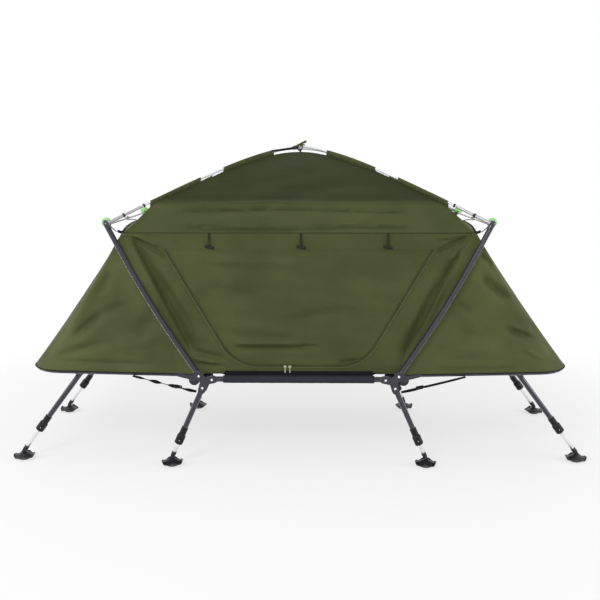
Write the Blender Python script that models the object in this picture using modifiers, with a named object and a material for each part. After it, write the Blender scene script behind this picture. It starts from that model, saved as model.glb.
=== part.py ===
"""Folding tent cot: a camp bed on eight telescopic legs with a small tent built over it.

World frame: X along the bed, -Y is the door side, +Z up, origin on the floor under the middle.
Metres. The right end is modelled, and the left end is the same parts turned half a turn about Z.
"""
import math

import bmesh
import bpy
from mathutils import Matrix, Vector

for item in list(bpy.data.objects):
    bpy.data.objects.remove(item, do_unlink=True)

# Clearances and stock
GAP = 0.0003
TUBE_R = 0.0105
PLATE = 0.003
CLOTH = 0.002
DECK_CLOTH = 0.003
WELD = 0.00001

# Middle section
SIDE_Y = 0.368
WALL_INSET = 0.019
STRAP_INSET = 0.021
OUTER_LEG_INSET = 0.064
RAIL_Z = 0.347
RAIL_END_X = 0.343
SLEEVE_R = 0.0135
SLEEVE_END_X = 0.288
DECK_END_X = 0.368
DECK_BAND_X = 0.282

# Corner bracket rivets (x, z)
UPRIGHT_PIN = (0.381, 0.361)
RAIL_PIN = (0.331, 0.347)
INNER_PIN = (0.368, 0.314)
END_PIN = (0.405, 0.345)
LOBE_R = 0.0115
LUG_R = 0.0165
BRACKET_R = 0.0145
BRACKET_REACH = 0.0085
WAIST_SHARE = 0.62
BRACKET_WAIST_SHARE = 0.90
RIVET_R = 0.0052
RIVET_HIGH = 0.0022

# End sections
BOW_START_X = 0.425
BOW_START_Z = 0.359
BOW_TIP_Z = 0.373
BOW_TIP_X = 1.036
BOW_CORNER = 0.11
BOW_TIP_CROWN = 0.012
LUG_ARM = 0.057
LUG_ARM_R = 0.0080
OUTER_PIN = (0.850, 0.358)
LEG_PLATE_HALF = 0.026
LEG_PLATE_TOP = 0.004

# Legs
OUTER_LEAN = math.radians(37)
INNER_LEAN = math.radians(24)
BORE_R = 0.0083
SLIDE_R = 0.0080
LEG_HEAD = 0.010
OUTER_LEG_LENGTH = 0.294
INNER_LEG_LENGTH = 0.241
SLIDE_INSIDE = 0.150
CUFF_SLEEVE_R = 0.0130
CUFF_SLEEVE_LENGTH = 0.030
CUFF_R = 0.0165
CUFF_LENGTH = 0.040
CUFF_LIP = 0.005
BUTTON_R = 0.0042
BUTTON_HIGH = 0.0018
CROSS_TUBE_R = 0.0080
BOSS_R = 0.0075

# Feet
ANKLE_Z = 0.033
SOLE_R = 0.020
FOOT_R = 0.041
RIM_LOW = 0.010
RIM_HIGH = 0.0145
DOME_HIGH = 0.025
DOME_SHOULDER = 0.0225
DOME_SLOPE = 0.0178
RIM_UNDER = 0.0028
TONGUE_R = 0.0072
TONGUE_HALF = 0.004
CHEEK = 0.003
PLUG_R = 0.0088
PLUG_ABOVE = 0.0095
PLUG_LENGTH = 0.012

# Hoops
HOOP_CORNER = (0.7165, 0.943)
UPRIGHT_BOW = 0.014
HOOP_FOOT = 0.012
HOOP_BAR_R = 0.0035
HOOP_BAR_DROP = 0.0085
JOINT_R = 0.0135
JOINT_ARM = 0.024
JOINT_BEND = 0.012
SOCKET_R = 0.0062
RING_R = 0.0085
RING_LENGTH = 0.010

# Arch poles
POLE_R = 0.0042
POLE_TOP = 1.219
POLE_END_DROP = 0.005
POLE_ROUND_SHARE = 0.30
POLE_START_SHARE = 0.915
POLE_END_GAP_SHARE = 0.001
CROSS_WIDTH_SHARE = 0.10

# Canopy
ROOF_X = 0.654
EAVE_Z = 0.9065
ROOF_DROP = 0.014
ROOF_BULGE = 0.024
ROOF_LIFT = 0.016
STEEP_SHARE = 0.80
WALL_FOOT_X = 0.385
WALL_TOP_X = 0.646
CORNER_X = 0.659
CORNER_Z = 0.911
BAND_X = 0.668
BAND_Z = 0.868
DOOR_TOP_DROP = 0.0645
DOOR_LOW_Z = 0.392
DOOR_TOP_X = 0.505
DOOR_LOW_X = 0.272
DOOR_CLEAR = 0.0006
WALL_CLEAR = 0.0015
FOLD_DEEP = 0.006
SEAM = 0.0045
FAN_FOLDS = 5
END_FOLDS = 4
CORNER_SHARE = 1 / 5
BAND_SHARE = 1 / 8

# Small fittings
ZIP_X = (-0.052, -0.034)
ZIP_LENGTH = 0.013
ZIP_WIDE = 0.006
ZIP_THICK = 0.003
STRAP_WIDE = 0.020
STRAP_THICK = 0.0020
STRAP_LOW = (0.396, 0.292)
STRAP_HIGH_X = 0.640
ADJUSTER_SHARE = 0.28
ADJUSTER_LONG = 0.026
ADJUSTER_THICK = 0.006
TIE_LONG = 0.024
TIE_WIDE = 0.022

# How finely round work is drawn
TUBE_SIDES = 16
FINE_SIDES = 12
CURVE_SIDES = 2
ELBOW_SIDES = 3
LOBE_STEPS = 6
BOW_STEPS = 6
UPRIGHT_STEPS = 8
POLE_STEPS = 24
ROOF_STEPS = 12
WALL_COLUMNS = 14
WALL_ROWS = 10
DOOR_COLUMN = 3
FLAP_STEPS = 12
END_COLUMNS = 28
END_ROWS = 8

# Places that follow from the sizes above
WALL_Y = SIDE_Y - WALL_INSET
STRAP_Y = SIDE_Y - STRAP_INSET
OUTER_LEG_Y = SIDE_Y - OUTER_LEG_INSET
LUG_REACH_X = END_PIN[0] + LUG_ARM
POLE_FALL = POLE_TOP - HOOP_CORNER[1] + POLE_END_DROP
DOOR_TOP_Z = EAVE_Z - DOOR_TOP_DROP
BOW_RISE_SHARE = (BOW_TIP_Z - BOW_START_Z) / (BOW_TIP_X - BOW_START_X)
INNER_PLATE_Y = SIDE_Y - TUBE_R - GAP - PLATE / 2
OUTER_PLATE_Y = SIDE_Y + TUBE_R + GAP + PLATE / 2
LUG_Y = INNER_PLATE_Y - PLATE - GAP
BOW_Y = LUG_Y - PLATE / 2 - GAP - TUBE_R
LEG_PLATE_Y = BOW_Y - TUBE_R - GAP - PLATE / 2
DECK_TOP_Z = RAIL_Z + SLEEVE_R + GAP + DECK_CLOTH
OUTER_REACH = (OUTER_PIN[1] - ANKLE_Z) / math.cos(OUTER_LEAN)
INNER_REACH = (INNER_PIN[1] - ANKLE_Z) / math.cos(INNER_LEAN)

cot = bpy.data.collections.new("tent_cot")
cutters = bpy.data.collections.new("cutters")
bpy.context.scene.collection.children.link(cot)
bpy.context.scene.collection.children.link(cutters)


def paint(name, colour, roughness, metallic):
    """A Principled material with the piece's colour, roughness and metal value."""
    material = bpy.data.materials.new(name)
    material.use_nodes = True
    shader = material.node_tree.nodes["Principled BSDF"]
    shader.inputs["Base Color"].default_value = (*colour, 1)
    shader.inputs["Roughness"].default_value = roughness
    shader.inputs["Metallic"].default_value = metallic
    return material


LOOKS = {
    "tube": ((0.045, 0.045, 0.060), 0.38, 0.6),
    "plate": ((0.050, 0.048, 0.062), 0.42, 0.5),
    "bright": ((0.75, 0.76, 0.78), 0.25, 0.9),
    "plastic": ((0.018, 0.018, 0.020), 0.50, 0.0),
    "green": ((0.10, 0.42, 0.06), 0.45, 0.0),
    "cloth": ((0.085, 0.100, 0.042), 0.85, 0.0),
    "deck": ((0.015, 0.015, 0.016), 0.90, 0.0),
    "webbing": ((0.012, 0.012, 0.012), 0.80, 0.0),
    "pole": ((0.70, 0.71, 0.73), 0.35, 0.3),
    "zip": ((0.42, 0.38, 0.24), 0.60, 0.0),
}


def new_object(name, data):
    """An object of its own in the cot's collection."""
    made = bpy.data.objects.new(name, data)
    cot.objects.link(made)
    return made


def settled(source):
    """The object's evaluated mesh in world space, with loose caps welded."""
    bpy.context.view_layer.update()
    seen = source.evaluated_get(bpy.context.evaluated_depsgraph_get())
    mesh = bpy.data.meshes.new_from_object(seen)
    mesh.transform(source.matrix_world)
    work = bmesh.new()
    work.from_mesh(mesh)
    bmesh.ops.remove_doubles(work, verts=work.verts, dist=WELD)
    bmesh.ops.recalc_face_normals(work, faces=work.faces)
    work.to_mesh(mesh)
    work.free()
    bpy.data.objects.remove(source, do_unlink=True)
    return mesh


def keep(name, piece, look):
    """Settles a piece as one mesh in world space, under its own name and material."""
    return finish_piece(new_object(name, settled(piece)), look)


def fuse(pieces):
    """Closed pieces that cross, joined into one solid by Boolean union."""
    base = new_object("fused", settled(pieces[0]))
    for piece in pieces[1:]:
        tool = new_object("joined", settled(piece))
        union = base.modifiers.new("union", "BOOLEAN")
        union.operation = "UNION"
        union.object = tool
        mesh = settled(base)
        bpy.data.objects.remove(tool, do_unlink=True)
        base = new_object("fused", mesh)
    return base


def finish_piece(made, look):
    """Gives a finished mesh its material and its sharp edges."""
    colour, roughness, metallic = LOOKS[look]
    made.data.materials.clear()
    made.data.materials.append(paint(made.name, colour, roughness, metallic))
    made.data.shade_smooth()
    made.data.set_sharp_from_angle(angle=math.radians(30))
    return made


def tube(points, radius, sides=CURVE_SIDES):
    """A solid round bar along a polyline, with filled caps."""
    curve = bpy.data.curves.new("bar", "CURVE")
    curve.dimensions = "3D"
    curve.bevel_depth = radius
    curve.bevel_resolution = sides
    curve.use_fill_caps = True
    line = curve.splines.new("POLY")
    line.points.add(len(points) - 1)
    for spot, place in zip(line.points, points):
        spot.co = (*place, 1)
    return new_object("bar", curve)


def barrel(start, end, radius, sides=TUBE_SIDES):
    """A cylinder primitive between two points."""
    start, end = Vector(start), Vector(end)
    along = end - start
    bpy.ops.mesh.primitive_cylinder_add(vertices=sides, radius=radius, depth=along.length)
    made = bpy.context.object
    made.matrix_world = (Matrix.Translation((start + end) / 2)
                         @ along.to_track_quat("Z", "Y").to_matrix().to_4x4())
    return made


def block(size, centre):
    """A box by its size and middle."""
    bpy.ops.mesh.primitive_cube_add(size=1)
    made = bpy.context.object
    made.matrix_world = Matrix.LocRotScale(Vector(centre), None, Vector(size))
    return made


def turned(profile, sides=TUBE_SIDES, closed=False):
    """A profile of (radius, height) turned about Z; it runs down its outer side."""
    mesh = bpy.data.meshes.new("profile")
    spots = [(radius, 0, height) for radius, height in profile]
    edges = [(i, i + 1) for i in range(len(spots) - 1)]
    if closed:
        edges.append((len(spots) - 1, 0))
    mesh.from_pydata(spots, edges, [])
    made = new_object("turned", mesh)
    screw = made.modifiers.new("turn", "SCREW")
    screw.steps = sides
    screw.render_steps = sides
    screw.use_merge_vertices = True
    screw.merge_threshold = WELD
    return made


def flat(outline, middle_y, thick):
    """A flat outline of (x, z) points standing in the plane y, cut from sheet."""
    curve = bpy.data.curves.new("sheet", "CURVE")
    curve.dimensions = "2D"
    curve.fill_mode = "BOTH"
    curve.extrude = thick / 2
    line = curve.splines.new("POLY")
    line.points.add(len(outline) - 1)
    for spot, (x, z) in zip(line.points, outline):
        spot.co = (x, z, 0, 1)
    line.use_cyclic_u = True
    made = new_object("sheet", curve)
    made.matrix_world = (Matrix.Translation((0, middle_y, 0))
                         @ Matrix.Rotation(math.pi / 2, 4, "X"))
    return made


def lying(outline, low, thick):
    """A flat outline of (x, y) points lying level, its underside at the given height."""
    made = flat(outline, 0, thick)
    made.matrix_world = Matrix.Translation((0, 0, low + thick / 2))
    return made


def lobes(places, radius, reach, waist):
    """Outline of a plate with a round arm past each rivet, drawn in between the arms."""
    middle = Vector((sum(c[0] for c in places), sum(c[1] for c in places))) / len(places)
    centres = []
    for place in places:
        outward = (Vector(place) - middle).normalized()
        centres.append(tuple(Vector(place) + outward * reach))
    order = sorted(centres, key=lambda c: math.atan2(c[1] - middle.y, c[0] - middle.x))
    outline = []
    for number, centre in enumerate(order):
        outward = math.atan2(centre[1] - middle.y, centre[0] - middle.x)
        for step in range(LOBE_STEPS + 1):
            angle = outward + math.pi * (step / LOBE_STEPS - 1 / 2)
            outline.append((centre[0] + radius * math.cos(angle),
                            centre[1] + radius * math.sin(angle)))
        after = order[(number + 1) % len(order)]
        between = (Vector(centre) + Vector(after)) / 2
        pulled = middle.lerp(between, waist)
        outline.append((pulled.x, pulled.y))
    return outline


def capsule(start, end, radius):
    """Outline of a flat link with round ends."""
    along = math.atan2(end[1] - start[1], end[0] - start[0])
    outline = []
    for centre, turn in ((end, -math.pi / 2), (start, math.pi / 2)):
        for step in range(LOBE_STEPS + 1):
            angle = along + turn + math.pi * step / LOBE_STEPS
            outline.append((centre[0] + radius * math.cos(angle),
                            centre[1] + radius * math.sin(angle)))
    return outline


def spread(columns, rows, place, thick, skip=None):
    """A cloth shell: a grid whose corners the place function sets, thickened by Solidify."""
    work = bmesh.new()
    bmesh.ops.create_grid(work, x_segments=columns, y_segments=rows, size=1 / 2)
    if skip:
        gone = []
        for face in work.faces:
            middle = face.calc_center_median()
            if skip(middle.x + 1 / 2, middle.y + 1 / 2):
                gone.append(face)
        bmesh.ops.delete(work, geom=gone, context="FACES")
    for spot in work.verts:
        spot.co = place(spot.co.x + 1 / 2, spot.co.y + 1 / 2)
    mesh = bpy.data.meshes.new("cloth")
    work.to_mesh(mesh)
    work.free()
    made = new_object("cloth", mesh)
    shell = made.modifiers.new("shell", "SOLIDIFY")
    shell.thickness = thick
    shell.offset = 0
    return made


def at_leg(pin, lean, side_y, below, across=0.0, out_y=0.0):
    """World point on a leg, by its distance below the pivot."""
    return Vector((pin[0] + below * math.sin(lean) + across * math.cos(lean), side_y + out_y,
                   pin[1] - below * math.cos(lean) + across * math.sin(lean)))


def set_on_leg(made, pin, lean, side_y):
    """Turns a piece drawn about Z onto the leg's line."""
    made.matrix_world = (Matrix.Translation((pin[0], side_y, pin[1]))
                         @ Matrix.Rotation(-lean, 4, "Y") @ made.matrix_world)
    return made


def across(share):
    """A share from 0 to 1 as a place from -1 to 1."""
    return share + share - 1


def bow_z(x):
    """Height of the bow's centre line, which rises evenly towards the tip."""
    return BOW_START_Z + BOW_RISE_SHARE * (x - BOW_START_X)


def bow_outline(grow):
    """The front half of the end bow's round corner seen from above, grown sideways."""
    half = BOW_Y + grow
    tip = BOW_TIP_X + grow
    corner = BOW_CORNER + grow
    points = []
    for step in range(BOW_STEPS + 1):
        turn = math.pi / 2 * step / BOW_STEPS
        points.append((tip - corner + corner * math.sin(turn),
                       -(half - corner + corner * math.cos(turn))))
    return points


def pole_height(share):
    """Height of an arch pole at its share of the way from the ridge to a corner."""
    run = math.hypot(share, POLE_ROUND_SHARE) - POLE_ROUND_SHARE
    return POLE_TOP - POLE_FALL * run / (math.hypot(1, POLE_ROUND_SHARE) - POLE_ROUND_SHARE)


def pole_point(share, turn, lift):
    """A point on a diagonal arch pole, which is lifted a little where it crosses the other."""
    over = lift * math.exp(-(share / CROSS_WIDTH_SHARE) ** 2)
    return Vector((HOOP_CORNER[0] * share, turn * SIDE_Y * share, pole_height(share) + over))


sides = {}


def both_ends(name, made):
    """Names the right-hand piece and its copy at the left end."""
    made.name = "right_" + name
    other = bpy.data.objects.new("left_" + name, made.data)
    other.matrix_world = Matrix.Rotation(math.pi, 4, "Z")
    cot.objects.link(other)
    sides[name] = (made, other)
    return made


# The middle section: side rails with their hinge brackets, and the deck between them
def make_middle():
    for front, word in ((-1, "front"), (1, "back")):
        y = front * SIDE_Y
        parts = [barrel((-RAIL_END_X, y, RAIL_Z), (RAIL_END_X, y, RAIL_Z), TUBE_R),
                 barrel((-SLEEVE_END_X, y, RAIL_Z), (SLEEVE_END_X, y, RAIL_Z), SLEEVE_R)]
        face = front * (OUTER_PLATE_Y + PLATE / 2 + RIVET_HIGH)
        for end in (-1, 1):
            pins = [(end * pin[0], pin[1]) for pin in (UPRIGHT_PIN, RAIL_PIN, INNER_PIN)]
            hung = pins[:2] + [(end * END_PIN[0], END_PIN[1])]
            parts.append(flat(lobes(pins, BRACKET_R, BRACKET_REACH, BRACKET_WAIST_SHARE),
                              front * OUTER_PLATE_Y, PLATE))
            parts.append(flat(lobes(hung, LOBE_R, 0, WAIST_SHARE), front * INNER_PLATE_Y, PLATE))
            for x, z in pins:
                through = INNER_PLATE_Y if z == RAIL_PIN[1] else OUTER_PLATE_Y
                parts.append(barrel((x, front * through, z), (x, face, z), RIVET_R, FINE_SIDES))
        keep(word + "_side_rail", fuse(parts), "tube")
    wide = SIDE_Y + TUBE_R
    inner = INNER_PLATE_Y - PLATE / 2 - GAP - PLATE
    corner = [(DECK_BAND_X, wide), (DECK_BAND_X, inner), (DECK_END_X, inner)]
    outline = []
    for across, front in ((1, 1), (1, -1), (-1, -1), (-1, 1)):
        part = corner if across * front > 0 else corner[::-1]
        outline += [(across * x, front * y) for x, y in part]
    low = RAIL_Z + SLEEVE_R + GAP
    keep("middle_deck", lying(outline, low, DECK_CLOTH), "deck")


# The end sections: bow, hinge lugs, leg plates, deck and straps
def make_end():
    line = []
    for x, y in [(BOW_START_X, -BOW_Y)] + bow_outline(0):
        line.append(Vector((x, y, bow_z(x))))
    crown = Vector((BOW_TIP_X + BOW_TIP_CROWN, 0, bow_z(BOW_TIP_X + BOW_TIP_CROWN)))
    mirrored = [Vector((p.x, -p.y, p.z)) for p in reversed(line)]
    parts = [tube(line + [crown] + mirrored, TUBE_R)]
    for front in (-1, 1):
        reach = (LUG_REACH_X, bow_z(LUG_REACH_X))
        parts.append(flat(capsule(END_PIN, reach, LUG_ARM_R), front * LUG_Y, PLATE))
        parts.append(barrel((END_PIN[0], front * (LUG_Y - PLATE / 2), END_PIN[1]),
                            (END_PIN[0], front * (LUG_Y + PLATE / 2), END_PIN[1]), LUG_R))
        parts.append(barrel((reach[0], front * BOW_Y, reach[1]),
                            (reach[0], front * (LUG_Y + PLATE / 2 + GAP / 2), reach[1]),
                            RIVET_R, FINE_SIDES))
        high = bow_z(OUTER_PIN[0])
        low = OUTER_PIN[1]
        outline = [(OUTER_PIN[0] - LEG_PLATE_HALF, high + TUBE_R - LEG_PLATE_TOP),
                   (OUTER_PIN[0] - LEG_PLATE_HALF, high - TUBE_R),
                   (OUTER_PIN[0] - LOBE_R, low - LOBE_R / 2),
                   (OUTER_PIN[0], low - LOBE_R),
                   (OUTER_PIN[0] + LOBE_R, low - LOBE_R / 2),
                   (OUTER_PIN[0] + LEG_PLATE_HALF, high - TUBE_R),
                   (OUTER_PIN[0] + LEG_PLATE_HALF, high + TUBE_R - LEG_PLATE_TOP)]
        parts.append(flat(outline, front * LEG_PLATE_Y, PLATE))
        for across in (-1, 1):
            x = OUTER_PIN[0] + across * LOBE_R
            parts.append(barrel((x, front * LEG_PLATE_Y, high), (x, front * BOW_Y, high),
                                RIVET_R, FINE_SIDES))
            parts.append(barrel((x, front * LEG_PLATE_Y, low + LOBE_R / 4),
                                (x, front * (LEG_PLATE_Y + PLATE / 2 + RIVET_HIGH),
                                 low + LOBE_R / 4), RIVET_R / 2, FINE_SIDES))
    both_ends("end_bow", keep("bow", fuse(parts), "tube"))

    outline = [(END_PIN[0], -WALL_Y)] + bow_outline(TUBE_R)
    outline += [(x, -y) for x, y in reversed(outline)]
    rise = math.atan(BOW_RISE_SHARE)
    deck = lying([(x - BOW_START_X, y) for x, y in outline], 0, DECK_CLOTH)
    lift = Vector((BOW_START_X, 0, BOW_START_Z + TUBE_R + GAP * 2))
    deck.matrix_world = (Matrix.Translation(lift) @ Matrix.Rotation(-rise, 4, "Y")
                         @ deck.matrix_world)
    both_ends("end_deck", keep("deck", deck, "deck"))

    for side, word in ((-1, "left"), (1, "right")):
        under = bow_z(STRAP_HIGH_X) - TUBE_R - STRAP_THICK / 2 - GAP * 2
        low, high = Vector(STRAP_LOW), Vector((STRAP_HIGH_X, under))
        along = (high - low).normalized()
        above = Vector((-along.y, along.x))
        thick = above * STRAP_THICK / 2
        web = [low - thick, high - thick, high + thick, low + thick]
        middle = low.lerp(high, ADJUSTER_SHARE)
        half = along * ADJUSTER_LONG / 2
        deep = above * ADJUSTER_THICK / 2
        slider = [middle - half - deep, middle + half - deep, middle + half + deep,
                  middle - half + deep]
        parts = []
        for outline, wide in ((web, STRAP_WIDE), (slider, STRAP_WIDE + STRAP_THICK * 2)):
            parts.append(flat([(side * p.x, p.y) for p in outline], -STRAP_Y, wide))
        strap = keep(word + "_strap", fuse(parts), "webbing")
        carry(strap, END_PIN, 0)


# The legs: hollow tubes on a cross tube, cuffs with buttons, sliding tubes and feet
def make_leg_pair(name, pin, lean, side_y, length, reach, boss_to):
    inside = side_y - TUBE_R / 2
    frame = [barrel((pin[0], -inside, pin[1]), (pin[0], inside, pin[1]), CROSS_TUBE_R)]
    for front in (-1, 1):
        y = front * side_y
        hollow = turned([(0, LEG_HEAD), (TUBE_R, LEG_HEAD), (TUBE_R, -length),
                         (BORE_R, -length), (BORE_R, -LEG_HEAD * 2), (0, -LEG_HEAD * 2)])
        frame.append(set_on_leg(hollow, pin, lean, y))
        if boss_to:
            frame.append(barrel((pin[0], y, pin[1]), (pin[0], front * boss_to, pin[1]),
                                BOSS_R, FINE_SIDES))
    both_ends(name + "_legs", keep("legs", fuse(frame), "tube"))
    for side in sides[name + "_legs"]:
        carry(side, pin, 0)

    head = -length + CUFF_SLEEVE_LENGTH + CUFF_LENGTH - CUFF_LIP
    collar = -length + CUFF_LENGTH - CUFF_LIP
    cuff_profile = [(CUFF_SLEEVE_R, head), (CUFF_SLEEVE_R, collar), (CUFF_R, collar - CUFF_LIP),
                    (CUFF_R, -length - CUFF_LIP / 2), (CUFF_R - CUFF_LIP / 2, -length - CUFF_LIP),
                    (BORE_R, -length - CUFF_LIP), (BORE_R, -length - GAP),
                    (TUBE_R + GAP, -length - GAP), (TUBE_R + GAP, head)]
    top = -reach + PLUG_ABOVE + PLUG_LENGTH
    for front, word, across in ((-1, "front", "back"), (1, "back", "front")):
        y = front * side_y
        cuff = set_on_leg(turned(cuff_profile, closed=True), pin, lean, y)
        middle = at_leg(pin, lean, y, length - CUFF_LENGTH / 3)
        press = Vector((0, front * (CUFF_R + BUTTON_HIGH), 0))
        inner = Vector((0, front * (TUBE_R + CUFF_R) / 2, 0))
        button = barrel(middle + inner, middle + press, BUTTON_R, FINE_SIDES)
        made = keep("cuff", fuse([cuff, button]), "plastic")
        named(made, f"{name}_{word}_cuff", f"{name}_{across}_cuff")
        for side in sides[f"{name}_{word}_cuff"]:
            carry(side, pin, 0)
        slide = turned([(0, -length + SLIDE_INSIDE), (SLIDE_R, -length + SLIDE_INSIDE),
                        (SLIDE_R, top), (PLUG_R, top - PLUG_LENGTH / 3),
                        (PLUG_R, top - PLUG_LENGTH), (0, top - PLUG_LENGTH)])
        parts = [slide]
        for cheek in (-1, 1):
            offset = cheek * (TONGUE_HALF + GAP + CHEEK / 2)
            parts.append(flat(capsule((0, -reach), (0, top - PLUG_LENGTH / 2), TONGUE_R),
                              offset, CHEEK))
        made = keep("tube", set_on_leg(fuse(parts), pin, lean, y), "bright")
        named(made, f"{name}_{word}_tube", f"{name}_{across}_tube")
        for side in sides[f"{name}_{word}_tube"]:
            carry(side, pin, y if side.name.startswith("right_") else -y)
        ankle = at_leg(pin, lean, y, reach)
        made = keep("foot", foot(ankle), "plastic")
        named(made, f"{name}_{word}_foot", f"{name}_{across}_foot")
        for side in sides[f"{name}_{word}_foot"]:
            carry(side, (ankle.x, ankle.z), 0)


def foot(ankle):
    """A dished sole with a turned-up rim and a tongue up to the ankle pin."""
    slope_r = (SOLE_R + FOOT_R) / 2
    dish = turned([(0, DOME_HIGH), (TONGUE_R, DOME_HIGH), (SOLE_R, DOME_SHOULDER),
                   (slope_r, DOME_SLOPE), (FOOT_R, RIM_HIGH), (FOOT_R, RIM_LOW),
                   (slope_r, RIM_UNDER), (SOLE_R, 0), (0, 0)])
    tongue = flat(capsule((0, DOME_HIGH - TONGUE_R), (0, ANKLE_Z), TONGUE_R), 0,
                  TONGUE_HALF * 2)
    made = fuse([dish, tongue])
    made.matrix_world = Matrix.Translation((ankle.x, ankle.y, 0))
    return made


def named(made, name, other):
    """Names the right-hand piece, and its half-turned copy at the left end."""
    made.name = "right_" + name
    copy = bpy.data.objects.new("left_" + other, made.data)
    copy.matrix_world = Matrix.Rotation(math.pi, 4, "Z")
    cot.objects.link(copy)
    sides[name] = (made, copy)


def carry(made, pin, y):
    """Parents a piece to an empty on its joint's axis, without moving the piece."""
    at_left = made.name.startswith("left_")
    spot = Vector((-pin[0] if at_left else pin[0], y, pin[1]))
    name = made.name + "_axis"
    axis = bpy.data.objects.new(name, None)
    axis.empty_display_size = LOBE_R
    axis.location = spot
    cot.objects.link(axis)
    stays = made.matrix_world.copy()
    made.parent = axis
    made.matrix_parent_inverse = Matrix.Translation(spot).inverted()
    made.matrix_basis = stays


# The hoops: bent uprights, cross bar, green corner joints, sockets and hooks
def make_hoop():
    foot_at, corner = Vector(UPRIGHT_PIN), Vector(HOOP_CORNER)
    along = (corner - foot_at).normalized()
    out = Vector((along.y, -along.x))
    total = (corner - foot_at).length
    for front, word, across in ((-1, "front", "back"), (1, "back", "front")):
        y = front * SIDE_Y
        line = []
        for step in range(UPRIGHT_STEPS + 1):
            reach = (total - JOINT_ARM + HOOP_FOOT) * step / UPRIGHT_STEPS - HOOP_FOOT
            share = max(reach, 0) / total
            place = foot_at + along * reach + out * UPRIGHT_BOW * math.sin(math.pi * share)
            line.append((place.x, y, place.y))
        made = keep("upright", tube(line, TUBE_R), "tube")
        named(made, f"{word}_upright", f"{across}_upright")
        end = Vector(line[-1])
        heading = (end - Vector(line[-2])).normalized()
        start = end + heading * GAP
        top = Vector((corner.x, y, corner.y))
        turn = top - Vector((0, front * JOINT_BEND, 0))
        arm = top - Vector((0, front * JOINT_ARM, 0))
        elbow = tube([start, start.lerp(top, 1 / 2), top.lerp(turn, 1 / 4), turn, arm],
                     JOINT_R, ELBOW_SIDES)
        root = pole_point(1, front, 0)
        mouth = pole_point(POLE_START_SHARE, front, 0)
        back = (root - mouth).normalized()
        socket = tube([root, mouth], SOCKET_R)
        ring = tube([mouth + back * RING_LENGTH, mouth], RING_R)
        made = keep("joint", fuse([elbow, socket, ring]), "green")
        named(made, f"{word}_corner_joint", f"{across}_corner_joint")
    reach = SIDE_Y - JOINT_ARM - GAP
    level = corner.y - HOOP_BAR_DROP
    bar = tube([(corner.x, -reach, level), (corner.x, reach, level)], HOOP_BAR_R)
    both_ends("hoop_bar", keep("bar", bar, "bright"))
    for name in ("front_upright", "back_upright", "front_corner_joint", "back_corner_joint",
                 "hoop_bar"):
        for side in sides[name]:
            carry(side, UPRIGHT_PIN, 0)


# The tent: crossing poles, roof, walls, door and its fittings
def make_poles():
    for word, turn, lift in (("lower", 1, 0), ("upper", -1, POLE_R * 2 + GAP * 2)):
        line = []
        for step in range(POLE_STEPS + 1):
            share = (POLE_START_SHARE - POLE_END_GAP_SHARE) * (2 * step / POLE_STEPS - 1)
            line.append(pole_point(share, turn, lift))
        keep(word + "_arch_pole", tube(line, POLE_R), "pole")
    low = POLE_TOP - ROOF_DROP + CLOTH / 2 + GAP
    high = pole_point(TIE_LONG / HOOP_CORNER[0], 1, 0).z - POLE_R - GAP
    keep("ridge_tie", block((TIE_LONG, TIE_WIDE, high - low), (0, 0, (low + high) / 2)), "webbing")


def roof_height(x, y):
    """Roof cloth over its shares of the way out: level between the two arch poles, under
    which it hangs, and steeper near its edge, which is lifted halfway along each end."""
    edge = max(abs(x), abs(y))
    at_edge = pole_height(ROOF_X / HOOP_CORNER[0]) - ROOF_DROP
    steep = max(edge - STEEP_SHARE, 0) / (1 - STEEP_SHARE)
    eave = EAVE_Z
    if abs(x) > abs(y):
        eave += ROOF_LIFT * (1 - (y / x) ** 2)
    drop = (at_edge - eave) * math.sin(steep * math.pi / 2) ** 2
    return pole_height(edge * ROOF_X / HOOP_CORNER[0]) - ROOF_DROP - drop


def fold_wave(u, v):
    """Folds that fan down from the two top corners and fade along the edges."""
    fan = math.sin(math.pi * FAN_FOLDS * u) * math.sin(math.pi * v)
    return FOLD_DEEP * fan * (1 / 2 + abs(u - 1 / 2))


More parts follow.
